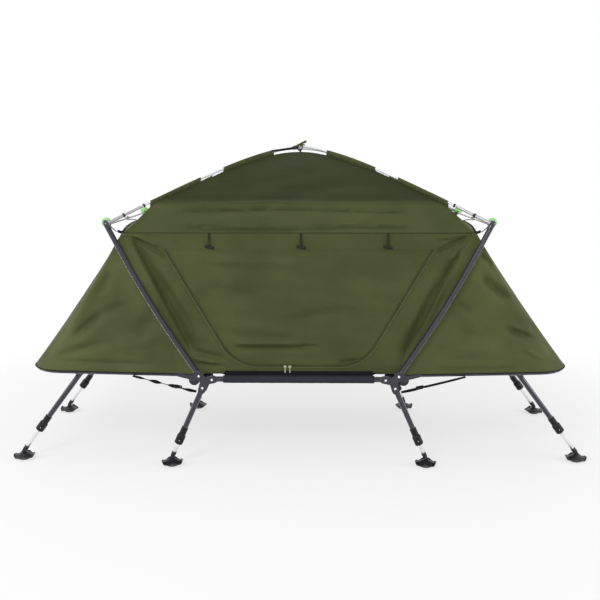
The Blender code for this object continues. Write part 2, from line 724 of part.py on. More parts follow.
def make_canopy():
    def roof(u, v):
        x, y = across(u), across(v)
        out = ROOF_X + ROOF_BULGE * (1 - y ** 2) * abs(x)
        return Vector((x * out, y * WALL_Y, roof_height(x, y)))
    keep("canopy_roof", spread(ROOF_STEPS, ROOF_STEPS, roof, CLOTH), "cloth")

    low = DECK_TOP_Z + GAP
    high = EAVE_Z - CLOTH - GAP
    columns = WALL_COLUMNS
    rows = WALL_ROWS
    door_low = (DOOR_LOW_Z - low) / (high - low)
    door_top = (DOOR_TOP_Z - low) / (high - low)

    def row_share(v):
        step = v * rows
        if step <= 1:
            return door_low * step
        if step >= rows - 1:
            return door_top + (1 - door_top) * (step - rows + 1)
        return door_low + (door_top - door_low) * (step - 1) / (rows - 2)

    def wall(front, door):
        def place(u, v):
            share = row_share(v) if door else v
            step = u * columns - columns / 2
            half = columns / 2 - DOOR_COLUMN
            rise = (low + (high - low) * share - DOOR_LOW_Z) / (DOOR_TOP_Z - DOOR_LOW_Z)
            edge = DOOR_LOW_X + (DOOR_TOP_X - DOOR_LOW_X) * rise
            side = WALL_FOOT_X + (WALL_TOP_X - WALL_FOOT_X) * share
            if not door:
                edge = side * half / (columns / 2)
            if abs(step) <= half:
                x = edge * step / half
            else:
                x = math.copysign(edge + (side - edge) * (abs(step) - half) / DOOR_COLUMN, step)
            inward = abs(fold_wave(u, share))
            if door and abs(step) <= half:
                inward = 0
            return Vector((x, front * (WALL_Y - inward), low + (high - low) * share))
        return place

    def doorway(u, v):
        inside_u = abs(u * columns - columns / 2) < columns / 2 - DOOR_COLUMN
        return inside_u and 1 < v * rows < rows - 1
    keep("front_wall", spread(columns, rows, wall(-1, True), CLOTH, doorway), "cloth")
    keep("back_wall", spread(columns, rows, wall(1, False), CLOTH), "cloth")

    def flap(u, v):
        z_low = DOOR_LOW_Z + DOOR_CLEAR
        z_high = DOOR_TOP_Z - DOOR_CLEAR
        z = z_low + (z_high - z_low) * v
        rise = (z - DOOR_LOW_Z) / (DOOR_TOP_Z - DOOR_LOW_Z)
        half = DOOR_LOW_X + (DOOR_TOP_X - DOOR_LOW_X) * rise - DOOR_CLEAR
        return Vector((half * across(u), abs(fold_wave(u, v)) - WALL_Y, z))
    door = keep("door_flap", spread(FLAP_STEPS, FLAP_STEPS, flap, CLOTH), "cloth")
    carry(door, (0, DOOR_TOP_Z), -WALL_Y - CLOTH / 2)

    outline = [(WALL_FOOT_X + SEAM, -WALL_Y)] + bow_outline(TUBE_R - CLOTH)
    outline = outline + [(x, -y) for x, y in reversed(outline)]
    lengths = [0]
    for first, second in zip(outline, outline[1:]):
        lengths.append(lengths[-1] + math.dist(first, second))

    def along(u):
        want = u * lengths[-1]
        for number in range(1, len(outline)):
            if want <= lengths[number] + WELD:
                span = lengths[number] - lengths[number - 1]
                share = (want - lengths[number - 1]) / span
                first, second = Vector(outline[number - 1]), Vector(outline[number])
                return first.lerp(second, min(max(share, 0), 1))
        return Vector(outline[-1])

    def end_wall(u, v):
        """End cloth from the bow up to the roof's edge, with a straight band at its top."""
        foot_at = along(u)
        base = bow_z(foot_at.x) + TUBE_R + DECK_CLOTH + WALL_CLEAR
        base = max(base, low)
        turn = min(max((u - 1 / 2) / CORNER_SHARE, -1), 1)
        lean = min(min(u, 1 - u) / CORNER_SHARE, 1)
        top_x = WALL_TOP_X + SEAM + (CORNER_X - WALL_TOP_X - SEAM) * lean
        middle = lean * (1 - turn ** 2)
        top = Vector((top_x + ROOF_BULGE * middle, WALL_Y * turn,
                      EAVE_Z - CLOTH * 2 + ROOF_LIFT * middle))
        band_at = Vector((top.x + (BAND_X - CORNER_X) * lean, WALL_Y * turn, BAND_Z))
        if v >= 1 - BAND_SHARE:
            return band_at.lerp(top, (v - 1 + BAND_SHARE) / BAND_SHARE)
        rise = v / (1 - BAND_SHARE)
        place = Vector((foot_at.x, foot_at.y, base)).lerp(band_at, rise)
        hollow = FOLD_DEEP * math.sin(math.pi * rise) * abs(math.sin(math.pi * END_FOLDS * u))
        return place - Vector((hollow, math.copysign(hollow / 2, foot_at.y), 0))
    both_ends("end_wall", keep("end_wall", spread(END_COLUMNS, END_ROWS, end_wall, CLOTH), "cloth"))


def make_fittings():
    """The two pulls of the door's zip, just under its lower edge."""
    face = -WALL_Y - CLOTH / 2 - GAP
    z = DOOR_LOW_Z - ZIP_LENGTH / 2 - DOOR_CLEAR
    for word, x in zip(("left", "right"), ZIP_X):
        pull = block((ZIP_WIDE, ZIP_THICK, ZIP_LENGTH), (x, face - ZIP_THICK / 2, z))
        carry(keep("zip_pull_" + word, pull, "zip"), (x, z), face - ZIP_THICK / 2)


make_middle()
make_end()
make_leg_pair("outer", OUTER_PIN, OUTER_LEAN, OUTER_LEG_Y, OUTER_LEG_LENGTH, OUTER_REACH,
              LEG_PLATE_Y - PLATE / 2 - GAP)
make_leg_pair("inner", INNER_PIN, INNER_LEAN, SIDE_Y, INNER_LEG_LENGTH, INNER_REACH, None)
make_hoop()
make_poles()
make_canopy()
make_fittings()
for name in ("end_bow", "end_deck", "end_wall"):
    for side in sides[name]:
        carry(side, END_PIN, 0)
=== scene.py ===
import math

import bpy
import mathutils
import numpy as np
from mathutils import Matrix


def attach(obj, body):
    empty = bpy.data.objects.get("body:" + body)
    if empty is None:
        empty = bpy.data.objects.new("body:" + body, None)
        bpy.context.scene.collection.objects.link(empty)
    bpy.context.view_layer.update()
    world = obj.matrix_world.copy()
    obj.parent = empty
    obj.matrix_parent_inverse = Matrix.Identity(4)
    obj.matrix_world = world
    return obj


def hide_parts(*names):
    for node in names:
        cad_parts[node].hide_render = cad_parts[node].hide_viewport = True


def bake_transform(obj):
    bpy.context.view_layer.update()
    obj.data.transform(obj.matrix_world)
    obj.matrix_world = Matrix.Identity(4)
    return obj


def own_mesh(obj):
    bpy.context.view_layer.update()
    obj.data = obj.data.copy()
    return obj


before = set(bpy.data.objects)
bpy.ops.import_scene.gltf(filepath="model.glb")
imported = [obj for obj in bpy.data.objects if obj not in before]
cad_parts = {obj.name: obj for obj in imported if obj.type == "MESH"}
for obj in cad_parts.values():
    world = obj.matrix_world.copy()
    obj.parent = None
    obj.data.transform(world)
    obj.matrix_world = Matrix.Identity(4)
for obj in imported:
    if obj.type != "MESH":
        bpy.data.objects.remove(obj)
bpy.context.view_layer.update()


def mm(*rows):
    """Points given in millimetres."""
    return np.array(rows) / 1000


SIDES = ((-1, "left"), (1, "right"))
FACES = ((-1, "front"), (1, "back"))
ACROSS, UP = (1, 0, 0), (0, 0, 1)

# Frame sizes, the same as in the part's source; pairs are (x, z)
SIDE_Y = 0.368
RAIL_Z = 0.347
TUBE_R = 0.0105
BOW_Y = 0.3401
BOW_START = (0.425, 0.359)
BOW_TIP = (1.036, 0.373)
BOW_CORNER = 0.110
BOW_CROWN = 0.012
DECK_TOP_Z = 0.3638
UPRIGHT_PIN = (0.381, 0.361)
RAIL_PIN = (0.331, 0.347)
INNER_PIN = (0.368, 0.314)
BRACKET_FACE_Y = 0.3818
HOOP_CORNER = (0.7165, 0.943)
POLE_TOP = 1.219
POLE_FALL = 0.281
POLE_ROUND = 0.30
POLE_START = 0.915
POLE_R = 0.0042
ANKLE_Z = 0.033
CUFF_R = 0.0165
# Name, pin, lean from upright, length of the dark tube, distance from the bed's middle
LEGS = (("outer", (0.850, 0.358), math.radians(37), 0.294, 0.304),
        ("inner", INNER_PIN, math.radians(24), 0.241, SIDE_Y))

# Cloth sizes
CLOTH_THICK = 0.0012
SEAM_OUT = 0.0012
WALL_Y = 0.349
HEM_Z = 0.3660
EAVE_Z = 0.9065
TOP_Z = EAVE_Z - 0.0005
SEAM_Z = 0.9050
WALL_FOOT_X = 0.385
WALL_TOP_X = 0.646
SIDE_HEM = 0.003
FRONT_SLACK, DOOR_SLACK, BACK_SLACK, END_SLACK = 0.0048, 0.0046, 0.0044, 0.0056
ROOF_X = 0.654
ROOF_DROP = 0.014
ROOF_BULGE = 0.024
ROOF_LIFT = 0.016
STEEP = 0.80
CORNER_X = 0.659
BAND_X = 0.684
BAND_Z = 0.868
TURN_SHARE = 0.20
FOLD_DEPTH = 1.9
DOOR_TOP = (0.505, 0.842)
DOOR_LOW = (0.247, 0.392)
DOOR_CORNER = 0.080
CORNER_Z = DOOR_LOW[1] + DOOR_CORNER
DOOR_GAP = 0.0004
ZIP_X = (-0.052, -0.034)
TOGGLE_X = (("left", -0.3345), ("middle", 0.0085), ("right", 0.3325))
SLEEVE_SHARES = ((0.155, 0.415), (0.535, 0.785))
CROSS_WIDTH = 0.10
DECK_HALF_X = 0.366
DECK_Y = (0.3465, 0.3600)
DECK_HINGE_X = 0.405
DECK_SAG = 0.009
END_SAG = 0.010
BRACKET_X = 0.318
RAIL_SLEEVE_X = 0.2885
RAIL_SLEEVE_R = 0.0141
DECK_BAND_X = 0.2840
STRAP_Y = 0.347
STRAP_LOW = (0.396, 0.292)
STRAP_HIGH = (0.640, 0.3525)
STRAP_WIDE = 0.020
STRAP_THICK = 0.0016

# Fittings: radii and reaches
SOCKET_R = 0.0062
FERRULE_R = 0.0053
RING_R = 0.0074
CLIP_SHARES = (0.812, 0.820)
FERRULE_START = 0.826
SOCKET_END = 0.995
ELBOW_REACH = 0.0245
HIDDEN_TUBE = 0.150
FORK_REACH = 0.0215
CHEEK_Y = 0.0058

# Camera and light
LENS = 48.06
CAMERA_PLACE = (0.0428, -3.3315, 1.1748)
CAMERA_TURN = (math.pi / 2 - 0.17369, 0, 0.01272)
AIM = (0, 0, 0.6)
WORLD_LIGHT = 0.38
FLOOR_WHITE = 0.70
FLOOR_FADE = (1.1, 2.4)
LAMPS = (("front light", (-1.6, -3.6, 3.0), 74, 1.4), ("side light", (3.4, -1.6, 1.7), 44, 1.6),
         ("left light", (-3.6, -1.2, 1.8), 34, 1.6), ("top light", (0, 0.8, 4.2), 22, 3.0))

# Profiles of (radius, height) in millimetres that are turned about an axis
COLLAR = mm((0, -9.5), (12.8, -9.5), (16, -7.8), (17.2, -4), (17.2, 4), (16, 7.8), (12.8, 9.5),
            (0, 9.5))
KNOB = mm((0, -5), (4, -4.2), (5.5, 0), (4, 4.2), (0, 5))
DISC = mm((0, 0.6), (12, 0.6), (15, 1.4), (19, 1.6), (20.5, 0.8), (20.5, -0.8), (19, -1.6),
          (0, -1.6))
DOME = mm((0, 3.4), (2.2, 3.2), (4.1, 2.2), (5.4, 0.6), (5.7, -0.4), (5.7, -1.2), (0, -1.2))
BOLT = mm((0, 1.6), (2, 1.4), (3.4, 0.4), (3.4, -1), (0, -1))
BUTTON = mm((0, 2.8), (2, 2.6), (3.4, 1.6), (4, 0), (4, -2), (0, -2))
DISH = mm((0, 26.2), (6, 26.2), (10.5, 25.2), (14.5, 22.8), (20, 20.6), (25.5, 18), (31, 15.2),
          (35.5, 14.4), (39, 16), (40.8, 17.2), (41.2, 15.8), (39.8, 12.8), (36, 10.4), (31, 8.4),
          (26, 5.6), (22.5, 4), (21.8, 1.6), (20.5, 0.2), (14, 0), (0, 0))


# Materials
def fill(node, values):
    for socket, value in values.items():
        node.inputs[socket].default_value = value


def add_node(tree, kind, feeds, values=None):
    """A new shader node with its sockets fed from the outputs given, or set to values."""
    node = tree.nodes.new("ShaderNode" + kind)
    fill(node, values or {})
    for socket, source in feeds.items():
        tree.links.new(source, node.inputs[socket])
    return node


def sums(tree, operation, first, second):
    """The result of one operation on two outputs."""
    node = add_node(tree, "Math", {0: first, 1: second})
    node.operation = operation
    return node.outputs[0]


def clouded(name, base, spots, size):
    """A material whose base colour drifts between two tones in soft clouds of the given size."""
    material = bpy.data.materials.new(name)
    material.use_nodes = True
    tree = material.node_tree
    shader = tree.nodes["Principled BSDF"]
    place = tree.nodes.new("ShaderNodeTexCoord").outputs["Object"]
    cloud = add_node(tree, "TexNoise", {"Vector": place}, {"Scale": 1 / size, "Detail": 3.0})
    ramp = add_node(tree, "ValToRGB", {"Fac": cloud.outputs["Fac"]})
    for stop, at, tone in zip(ramp.color_ramp.elements, (0.32, 0.68), (1 - spots, 1 + spots)):
        stop.position = at
        stop.color = (*[min(c * tone, 1) for c in base], 1)
    tree.links.new(ramp.outputs["Color"], shader.inputs["Base Color"])
    return material, tree, shader, place


def plain(name, base, rough, metal=0.0, spots=0.12, coat=0.0, sheen=0.0, gloss=0.5):
    """A hard finish: drifting colour, uneven roughness and a fine surface grain."""
    material, tree, shader, place = clouded(name, base, spots, 0.03)
    fill(shader, {"Metallic": metal, "Coat Weight": coat, "Coat Roughness": 0.2,
                  "Sheen Weight": sheen, "Sheen Roughness": 0.35, "Specular IOR Level": gloss})
    fine = add_node(tree, "TexNoise", {"Vector": place}, {"Scale": 1 / 0.004, "Detail": 2})
    grain = fine.outputs["Fac"]
    wear = add_node(tree, "MapRange", {"Value": grain},
                    {"To Min": rough * 0.85, "To Max": min(rough * 1.15, 1)})
    bump = add_node(tree, "Bump", {"Height": grain}, {"Strength": 0.35, "Distance": 0.0004})
    tree.links.new(wear.outputs["Result"], shader.inputs["Roughness"])
    tree.links.new(bump.outputs["Normal"], shader.inputs["Normal"])
    return material


def woven(name, base, rough, spots=0.10, size=0.12, thread=0.0012, crumple=0.0075,
          painted_shade_above=None):
    """Cloth: soft tone clouds, crossed threads and small creases; painted shade darker above a
    height, for a top that gets less light.
    """
    material, tree, shader, place = clouded(name, base, spots, size)
    fill(shader, {"Roughness": rough, "Sheen Weight": 0.012, "Sheen Roughness": 0.5,
                  "Specular IOR Level": 0.12})
    # Painted shade: the base colour is multiplied darker above the given height, standing in for
    # the dimmer light on the roof's top.
    if painted_shade_above:
        low, high, share = painted_shade_above
        split = add_node(tree, "SeparateXYZ", {0: place})
        fade = add_node(tree, "MapRange", {"Value": split.outputs["Z"]},
                        {"From Min": low, "From Max": high})
        fade.interpolation_type = "SMOOTHSTEP"
        tone = shader.inputs["Base Color"].links[0].from_socket
        mix = add_node(tree, "Mix", {0: fade.outputs["Result"], 6: tone},
                       {7: (share, share * 1.03, share * 1.02, 1)})
        mix.data_type = "RGBA"
        mix.blend_type = "MULTIPLY"
        tree.links.new(mix.outputs[2], shader.inputs["Base Color"])
    threads = []
    for direction in ("X", "Z", "Y"):
        wave = add_node(tree, "TexWave", {"Vector": place},
                        {"Scale": 1 / thread / 20 * math.tau, "Distortion": 0.3})
        wave.bands_direction = direction
        threads.append(wave.outputs["Fac"])
    crossed = sums(tree, "ADD", sums(tree, "ADD", *threads[:2]), threads[2])
    weave = add_node(tree, "Bump", {"Height": crossed},
                     {"Strength": 0.25, "Distance": thread / 8})
    stretch = add_node(tree, "Mapping", {"Vector": place}, {"Scale": (5, 9, 16)})
    noise = add_node(tree, "TexNoise", {"Vector": stretch.outputs["Vector"]},
                     {"Scale": 1.0, "Detail": 4, "Roughness": 0.45})
    fold = add_node(tree, "Bump", {"Height": noise.outputs["Fac"],
                                   "Normal": weave.outputs["Normal"]},
                    {"Strength": 0.8, "Distance": crumple})
    tree.links.new(fold.outputs["Normal"], shader.inputs["Normal"])
    return material


LOOKS = {
    "canopy": woven("olive canopy cloth", (0.068, 0.078, 0.028), 0.60, spots=0.15, size=0.22),
    # The roof cloth has painted shade: darker above 1.0 m, for the dimmer light on its top.
    "roof": woven("olive roof cloth with painted shade", (0.066, 0.078, 0.027), 0.62, spots=0.14, size=0.20,
                  painted_shade_above=(1.000, 1.030, 0.44)),
    # Painted light: the same olive cloth as the walls in a lighter copy, standing in for the
    # brighter light on the ends.
    "end": woven("olive end cloth painted lighter", (0.080, 0.092, 0.034), 0.60, spots=0.16, size=0.20),
    "piping": woven("olive seam piping", (0.105, 0.120, 0.055), 0.6, thread=0.0006,
                    crumple=0.0004),
    "tape": woven("dark olive tape", (0.046, 0.053, 0.020), 0.7, thread=0.0008, crumple=0.0004),
    "deck": woven("black deck cloth", (0.007, 0.007, 0.009), 0.85, thread=0.0015),
    "rail cloth": woven("grey blue rail sleeve", (0.026, 0.027, 0.038), 0.6, crumple=0.0010),
    "webbing": woven("black webbing", (0.014, 0.014, 0.014), 0.75, thread=0.002,
                     crumple=0.0005),
    "tube": plain("grey blue powder coat", (0.011, 0.011, 0.023), 0.20, 0.10, coat=0.4,
                  sheen=1.0),
    "plate": plain("grey blue pressed steel", (0.011, 0.011, 0.020), 0.32, 0.10, sheen=0.3),
    "bright": plain("brushed aluminium", (0.84, 0.85, 0.86), 0.22, 0.8, spots=0.05),
    "pale": plain("pale pole fibre", (0.72, 0.73, 0.75), 0.35, 0.25, spots=0.05),
    "socket": plain("grey pole socket", (0.42, 0.42, 0.44), 0.30, 0.45, spots=0.06),
    "plastic": plain("black moulded plastic", (0.008, 0.008, 0.009), 0.40, gloss=0.25,
                     sheen=0.08),
    "toggle": plain("dull black toggle", (0.014, 0.016, 0.012), 0.55, gloss=0.2),
    "foot": plain("charcoal rubber foot", (0.016, 0.016, 0.019), 0.40, spots=0.2, gloss=0.35),
    "green": plain("lime corner plastic", (0.30, 0.72, 0.20), 0.35, coat=0.3, spots=0.06),
    "zip": plain("beige zip pull", (0.40, 0.38, 0.26), 0.5),
    "rivet": plain("bright rivet", (0.88, 0.88, 0.88), 0.22, 0.6, spots=0.03),
}


# Shapes: each is points, and faces as rows of point numbers
def xyz(x, y, z):
    """Points from x, y and z, each a number or an array."""
    return np.stack(np.broadcast_arrays(x, y, z), -1)


def quads(rows, columns, around=False):
    """Corner numbers of a grid's faces, row by row; around closes each row on itself."""
    n = np.arange(rows * columns).reshape(rows, columns)
    if around:
        n = np.hstack([n, n[:, :1]])
    return np.stack([n[:-1, :-1], n[:-1, 1:], n[1:, 1:], n[1:, :-1]], -1).reshape(-1, 4).tolist()


def capped(points, flip=False):
    """A closed bar: rings of points (rings, around, 3) with a fan over each end."""
    rings, around = points.shape[:2]
    faces = quads(rings, around, True)
    flat = points.reshape(-1, 3)
    first, last = len(flat), len(flat) + 1
    base = (rings - 1) * around
    faces += [[first, (k + 1) % around, k] for k in range(around)]
    faces += [[last, base + k, base + (k + 1) % around] for k in range(around)]
    if flip:
        faces = [face[::-1] for face in faces]
    return np.vstack([flat, points[0].mean(0), points[-1].mean(0)]), faces


def rails(path):
    """Unit directions along a path, from the differences of its points."""
    step = np.gradient(path, axis=0)
    return step / np.linalg.norm(step, axis=1, keepdims=True)


def rod(path, radius, around=20, side=(0, 1, 0), wide=1.0):
    """A bar of the given radius round a path: centre + r (cos t * a + sin t * wide * b), where
    a and b are square to the path and b lies nearest the side direction."""
    path, side = np.asarray(path, float), np.asarray(side, float)
    along = rails(path)
    b = side - along * (along @ side)[:, None]
    b /= np.linalg.norm(b, axis=1, keepdims=True)
    a = np.cross(b, along)
    t = np.linspace(0, math.tau, around, endpoint=False)
    r = np.broadcast_to(np.asarray(radius, float), (len(path),))[:, None, None]
    ring = a[:, None] * np.cos(t)[None, :, None] + b[:, None] * np.sin(t)[None, :, None] * wide
    return capped(path[:, None] + r * ring, flip=True)


def turned(profile, centre, axis=UP, around=32, wave=None):
    """A profile of (radius, height) turned about an axis through the centre; wave(t, r)
    shifts the height, for a scalloped rim."""
    profile = np.asarray(profile, float)
    axis = np.asarray(axis, float) / np.linalg.norm(axis)
    help_axis = np.array([1.0, 0, 0]) if abs(axis[0]) < 0.9 else np.array([0, 1.0, 0])
    a = np.cross(axis, help_axis)
    a /= np.linalg.norm(a)
    b = np.cross(axis, a)
    t = np.linspace(0, math.tau, around, endpoint=False)
    r, h = profile.T[..., None] + np.zeros(around)
    if wave:
        h = h + wave(t[None, :], r)
    points = (np.asarray(centre, float) + r[..., None] * (a * np.cos(t)[:, None]
              + b * np.sin(t)[:, None])[None] + h[..., None] * axis)
    return capped(points, flip=profile[0, 1] > profile[-1, 1])


def smooth(points, count):
    """A path through the points, rounded by a cardinal spline, with the given point count."""
    p = np.asarray(points, float)
    p = np.vstack([2 * p[0] - p[1], p, 2 * p[-1] - p[-2]])
    s = np.linspace(0, len(p) - 3 - 1e-9, count)
    k = s.astype(int)
    t = (s - k)[:, None]
    a, b, c, d = p[k], p[k + 1], p[k + 2], p[k + 3]
    return 0.5 * (2 * b + (c - a) * t + (2 * a - 5 * b + 4 * c - d) * t ** 2
                  + (3 * b - a - 3 * c + d) * t ** 3)


def even(line, count):
    """The same flat line as points at even steps."""
    reach = np.concatenate([[0], np.cumsum(np.linalg.norm(np.diff(line, axis=0), axis=1))])
    s = np.linspace(0, reach[-1], count)
    return np.stack([np.interp(s, reach, line[:, 0]), np.interp(s, reach, line[:, 1])], 1)


def ease(t):
    """Smooth step from 0 to 1."""
    t = np.clip(t, 0, 1)
    return t * t * (3 - 2 * t)


def shell(points, thick=CLOTH_THICK, flip=False):
    """A cloth grid with its thickness: the grid moved along its normals by half of it to each
    side, and the two layers joined round the edge."""
    points = np.asarray(points, float)
    rows, columns = points.shape[:2]
    normal = np.cross(np.gradient(points, axis=1), np.gradient(points, axis=0))
    normal /= np.maximum(np.linalg.norm(normal, axis=2, keepdims=True), 1e-12)
    if flip:
        normal = -normal
    count = rows * columns
    faces = np.array(quads(rows, columns))
    n = np.arange(count).reshape(rows, columns)
    rim = np.concatenate([n[0], n[1:, -1], n[-1, -2::-1], n[-2:0:-1, 0]])
    after = np.roll(rim, -1)
    walls = np.stack([after, rim, rim + count, after + count], 1)
    faces = np.vstack([faces, faces[:, ::-1] + count, walls])
    if flip:
        faces = faces[:, ::-1]
    flat = points.reshape(-1, 3)
    off = normal.reshape(-1, 3) * thick / 2
    return np.vstack([flat + off, flat - off]), faces.tolist()


def ribbon(path, across, wide, thick):
    """A flat band: half its width to each side of the path, along the given direction."""
    path = np.asarray(path, float)
    shift = np.linspace(-0.5, 0.5, 5)[None, :, None] * wide
    across = np.broadcast_to(np.asarray(across, float), path.shape)
    return shell(path[:, None] + shift * across[:, None], thick)


def slab(outline, low, high, bevel):
    """A plate with a convex outline of (x, z) and its faces at y = low and high, its corners
    broken by the bevel."""
    outline = np.asarray(outline, float)
    middle = outline.mean(0)
    reach = np.linalg.norm(outline - middle, axis=1, keepdims=True)
    small = middle + (outline - middle) * (1 - bevel / reach)
    rings = [xyz(rim[:, 0], y, rim[:, 1]) for rim, y in
             ((small, low), (outline, low + bevel), (outline, high - bevel), (small, high))]
    area = np.sum(outline[:, 0] * np.roll(outline[:, 1], -1)
                  - outline[:, 1] * np.roll(outline[:, 0], -1))
    return capped(np.array(rings), flip=area > 0)


def arc(radius, first, last):
    """Points of (x, z) on an arc, for a plate's round end."""
    t = np.linspace(first, last, 20)
    return radius * np.stack([np.cos(t), np.sin(t)], 1)


def moved(shape, offset):
    return shape[0] + offset, shape[1]


def put(shape, side, front):
    """A shape drawn at the right-hand back corner, mirrored to the corner asked for."""
    points = shape[0] * np.array([side, front, 1.0])
    return (points, shape[1]) if side * front > 0 else (points, [f[::-1] for f in shape[1]])


def hard(made, degrees):
    """Smooth shading with sharp edges above the given angle."""
    made.data.shade_smooth()
    made.data.set_sharp_from_angle(angle=math.radians(degrees))


def make(name, shapes, look, body=None, instead=None, sharp=None, at=(1, 1)):
    """One object from several shapes, with its place in its mesh, at one of the four corners. It
    rides a body and replaces a CAD node where these are given."""
    count, points, faces = 0, [], []
    for shape in shapes:
        spots, rows = put(shape, *at)
        points.append(spots)
        faces += [[k + count for k in row] for row in rows]
        count += len(spots)
    mesh = bpy.data.meshes.new(name)
    mesh.from_pydata(np.vstack(points).tolist(), [], faces)
    mesh.shade_smooth()
    mesh.materials.append(LOOKS[look])
    made = bpy.data.objects.new(name, mesh)
    bpy.context.scene.collection.objects.link(made)
    if sharp:
        hard(made, sharp)
    if instead:
        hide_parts(instead)
    if body:
        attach(made, body)
    return made


def cloth(name, points, look, instead=None, flip=False, thick=CLOTH_THICK):
    """A cloth piece from its grid: a shell of the given thickness, replacing a CAD node where one
    is given.
    """
    made = make(name, [shell(points, thick, flip)], look, sharp=42)
    if instead:
        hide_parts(instead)
    return made


# Camera, light and floor
def lamp(name, place, power, size):
    """A square area light aimed at the middle of the bed."""
    made = bpy.data.objects.new(name, bpy.data.lights.new(name, "AREA"))
    made.data.energy = power
    made.data.size = size
    made.location = place
    aim = np.array(AIM) - np.array(place)
    made.rotation_euler = mathutils.Vector(aim).to_track_quat("-Z", "Y").to_euler()
    bpy.context.scene.collection.objects.link(made)


def seen_rays(tree):
    """1 for what the camera sees directly, in a reflection or through a clear piece."""
    rays = tree.nodes.new("ShaderNodeLightPath").outputs
    direct = sums(tree, "MAXIMUM", rays["Is Camera Ray"], rays["Is Glossy Ray"])
    return sums(tree, "MAXIMUM", direct, rays["Is Transmission Ray"])


def white_world():
    """Soft light from all round, plain white where the camera sees it."""
    world = bpy.data.worlds.new("studio")
    world.use_nodes = True
    bpy.context.scene.world = world
    tree = world.node_tree
    tree.nodes.clear()
    soft, white = [add_node(tree, "Background", {}, {"Color": (1, 1, 1, 1), "Strength": strength})
                   for strength in (WORLD_LIGHT, 1.0)]
    mix = add_node(tree, "MixShader", {0: seen_rays(tree), 1: soft.outputs[0],
                                       2: white.outputs[0]})
    add_node(tree, "OutputWorld", {0: mix.outputs[0]})


def white_floor():
    """A pale floor that takes the shadow near the bed and turns plain white further out."""
    bpy.ops.mesh.primitive_plane_add(size=60, location=(0, 0, -0.0006))
    floor = bpy.context.object
    floor.name = "floor"
    material = bpy.data.materials.new("pale floor")
    material.use_nodes = True
    tree = material.node_tree
    shader = tree.nodes["Principled BSDF"]
    fill(shader, {"Base Color": (0.94, 0.94, 0.94, 1), "Roughness": 0.9})
    white = add_node(tree, "Emission", {}, {"Color": (1, 1, 1, 1), "Strength": 1.0})
    place = tree.nodes.new("ShaderNodeTexCoord")
    reach = add_node(tree, "VectorMath", {0: place.outputs["Object"]})
    reach.operation = "LENGTH"
    far = add_node(tree, "MapRange", {"Value": reach.outputs["Value"]},
                   {"From Min": FLOOR_FADE[0], "From Max": FLOOR_FADE[1],
                    "To Min": FLOOR_WHITE, "To Max": 1.0})
    far.interpolation_type = "SMOOTHSTEP"
    only = sums(tree, "MULTIPLY", far.outputs["Result"], seen_rays(tree))
    mix = add_node(tree, "MixShader", {0: only, 1: shader.outputs[0], 2: white.outputs[0]})
    tree.links.new(mix.outputs[0], tree.nodes["Material Output"].inputs["Surface"])
    floor.data.materials.append(material)


def set_stage():
    bpy.context.scene.view_settings.view_transform = "Standard"
    camera = bpy.data.objects.new("camera", bpy.data.cameras.new("camera"))
    camera.data.lens = LENS
    camera.data.sensor_width = 36
    camera.location = CAMERA_PLACE
    camera.rotation_euler = CAMERA_TURN
    bpy.context.scene.collection.objects.link(camera)
    bpy.context.scene.camera = camera
    for name, place, power, size in LAMPS:
        lamp(name, place, power, size)
    white_world()
    white_floor()


def dress_frame():
    """Gives the CAD nodes that stay their better materials."""
    looks = {"rail": "tube", "bow": "tube", "upright": "tube", "_legs": "tube",
             "cuff": "plastic", "bar": "pale"}
    for name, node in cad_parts.items():
        for ending, look in looks.items():
            if name.endswith(ending):
                node.data.materials.clear()
                node.data.materials.append(LOOKS[look])
                hard(node, 32)


# Lines that the cloth and the bows follow
def bow_z(x):
    """Height of the end bow: a straight slope from its start to its tip."""
    slope = (BOW_TIP[1] - BOW_START[1]) / (BOW_TIP[0] - BOW_START[0])
    return BOW_START[1] + slope * (x - BOW_START[0])


def bow_line(grow, count, start=WALL_FOOT_X):
    """The end bow seen from above, front hinge to back: straight, quarter circle of the corner
    radius, across the tip with a slight crown, and the same again, at even steps."""
    half, tip, corner = BOW_Y + grow, BOW_TIP[0] + grow, BOW_CORNER + grow
    t = np.linspace(0, math.pi / 2, 24)
    bend = np.stack([tip - corner + corner * np.sin(t), -(half - corner + corner * np.cos(t))], 1)
    y = np.linspace(-(half - corner), 0, 12)[1:]
    crown = np.stack([tip + BOW_CROWN * (1 - (y / (half - corner)) ** 2), y], 1)
    front = np.vstack([[start, -half], bend, crown])
    return even(np.vstack([front, (front * [1, -1])[-2::-1]]), count)


def pole_height(share):
    """Height of a pole at its share of the way out: a hyperbola, level at the crossing and
    POLE_FALL lower at the hoop's corner."""
    run = np.hypot(share, POLE_ROUND) - POLE_ROUND
    return POLE_TOP - POLE_FALL * run / (math.hypot(1, POLE_ROUND) - POLE_ROUND)


def roof_height(x, y):
    """Roof over its shares of the way out (x, y from -1 to 1): pole height at the greater share,
    less the drop under the poles, steeper near the edge, with the ends' edges lifted."""
    edge = np.maximum(np.abs(x), np.abs(y))
    at_edge = pole_height(ROOF_X / HOOP_CORNER[0]) - ROOF_DROP
    steep = np.clip((edge - STEEP) / (1 - STEEP), 0, 1)
    ratio = np.where(np.abs(x) > np.abs(y), np.abs(y) / np.maximum(np.abs(x), 1e-6), 1)
    eave = EAVE_Z + ROOF_LIFT * (1 - ratio ** 2)
    drop = (at_edge - eave) * np.sin(steep * math.pi / 2) ** 2
    return pole_height(edge * ROOF_X / HOOP_CORNER[0]) - ROOF_DROP - drop


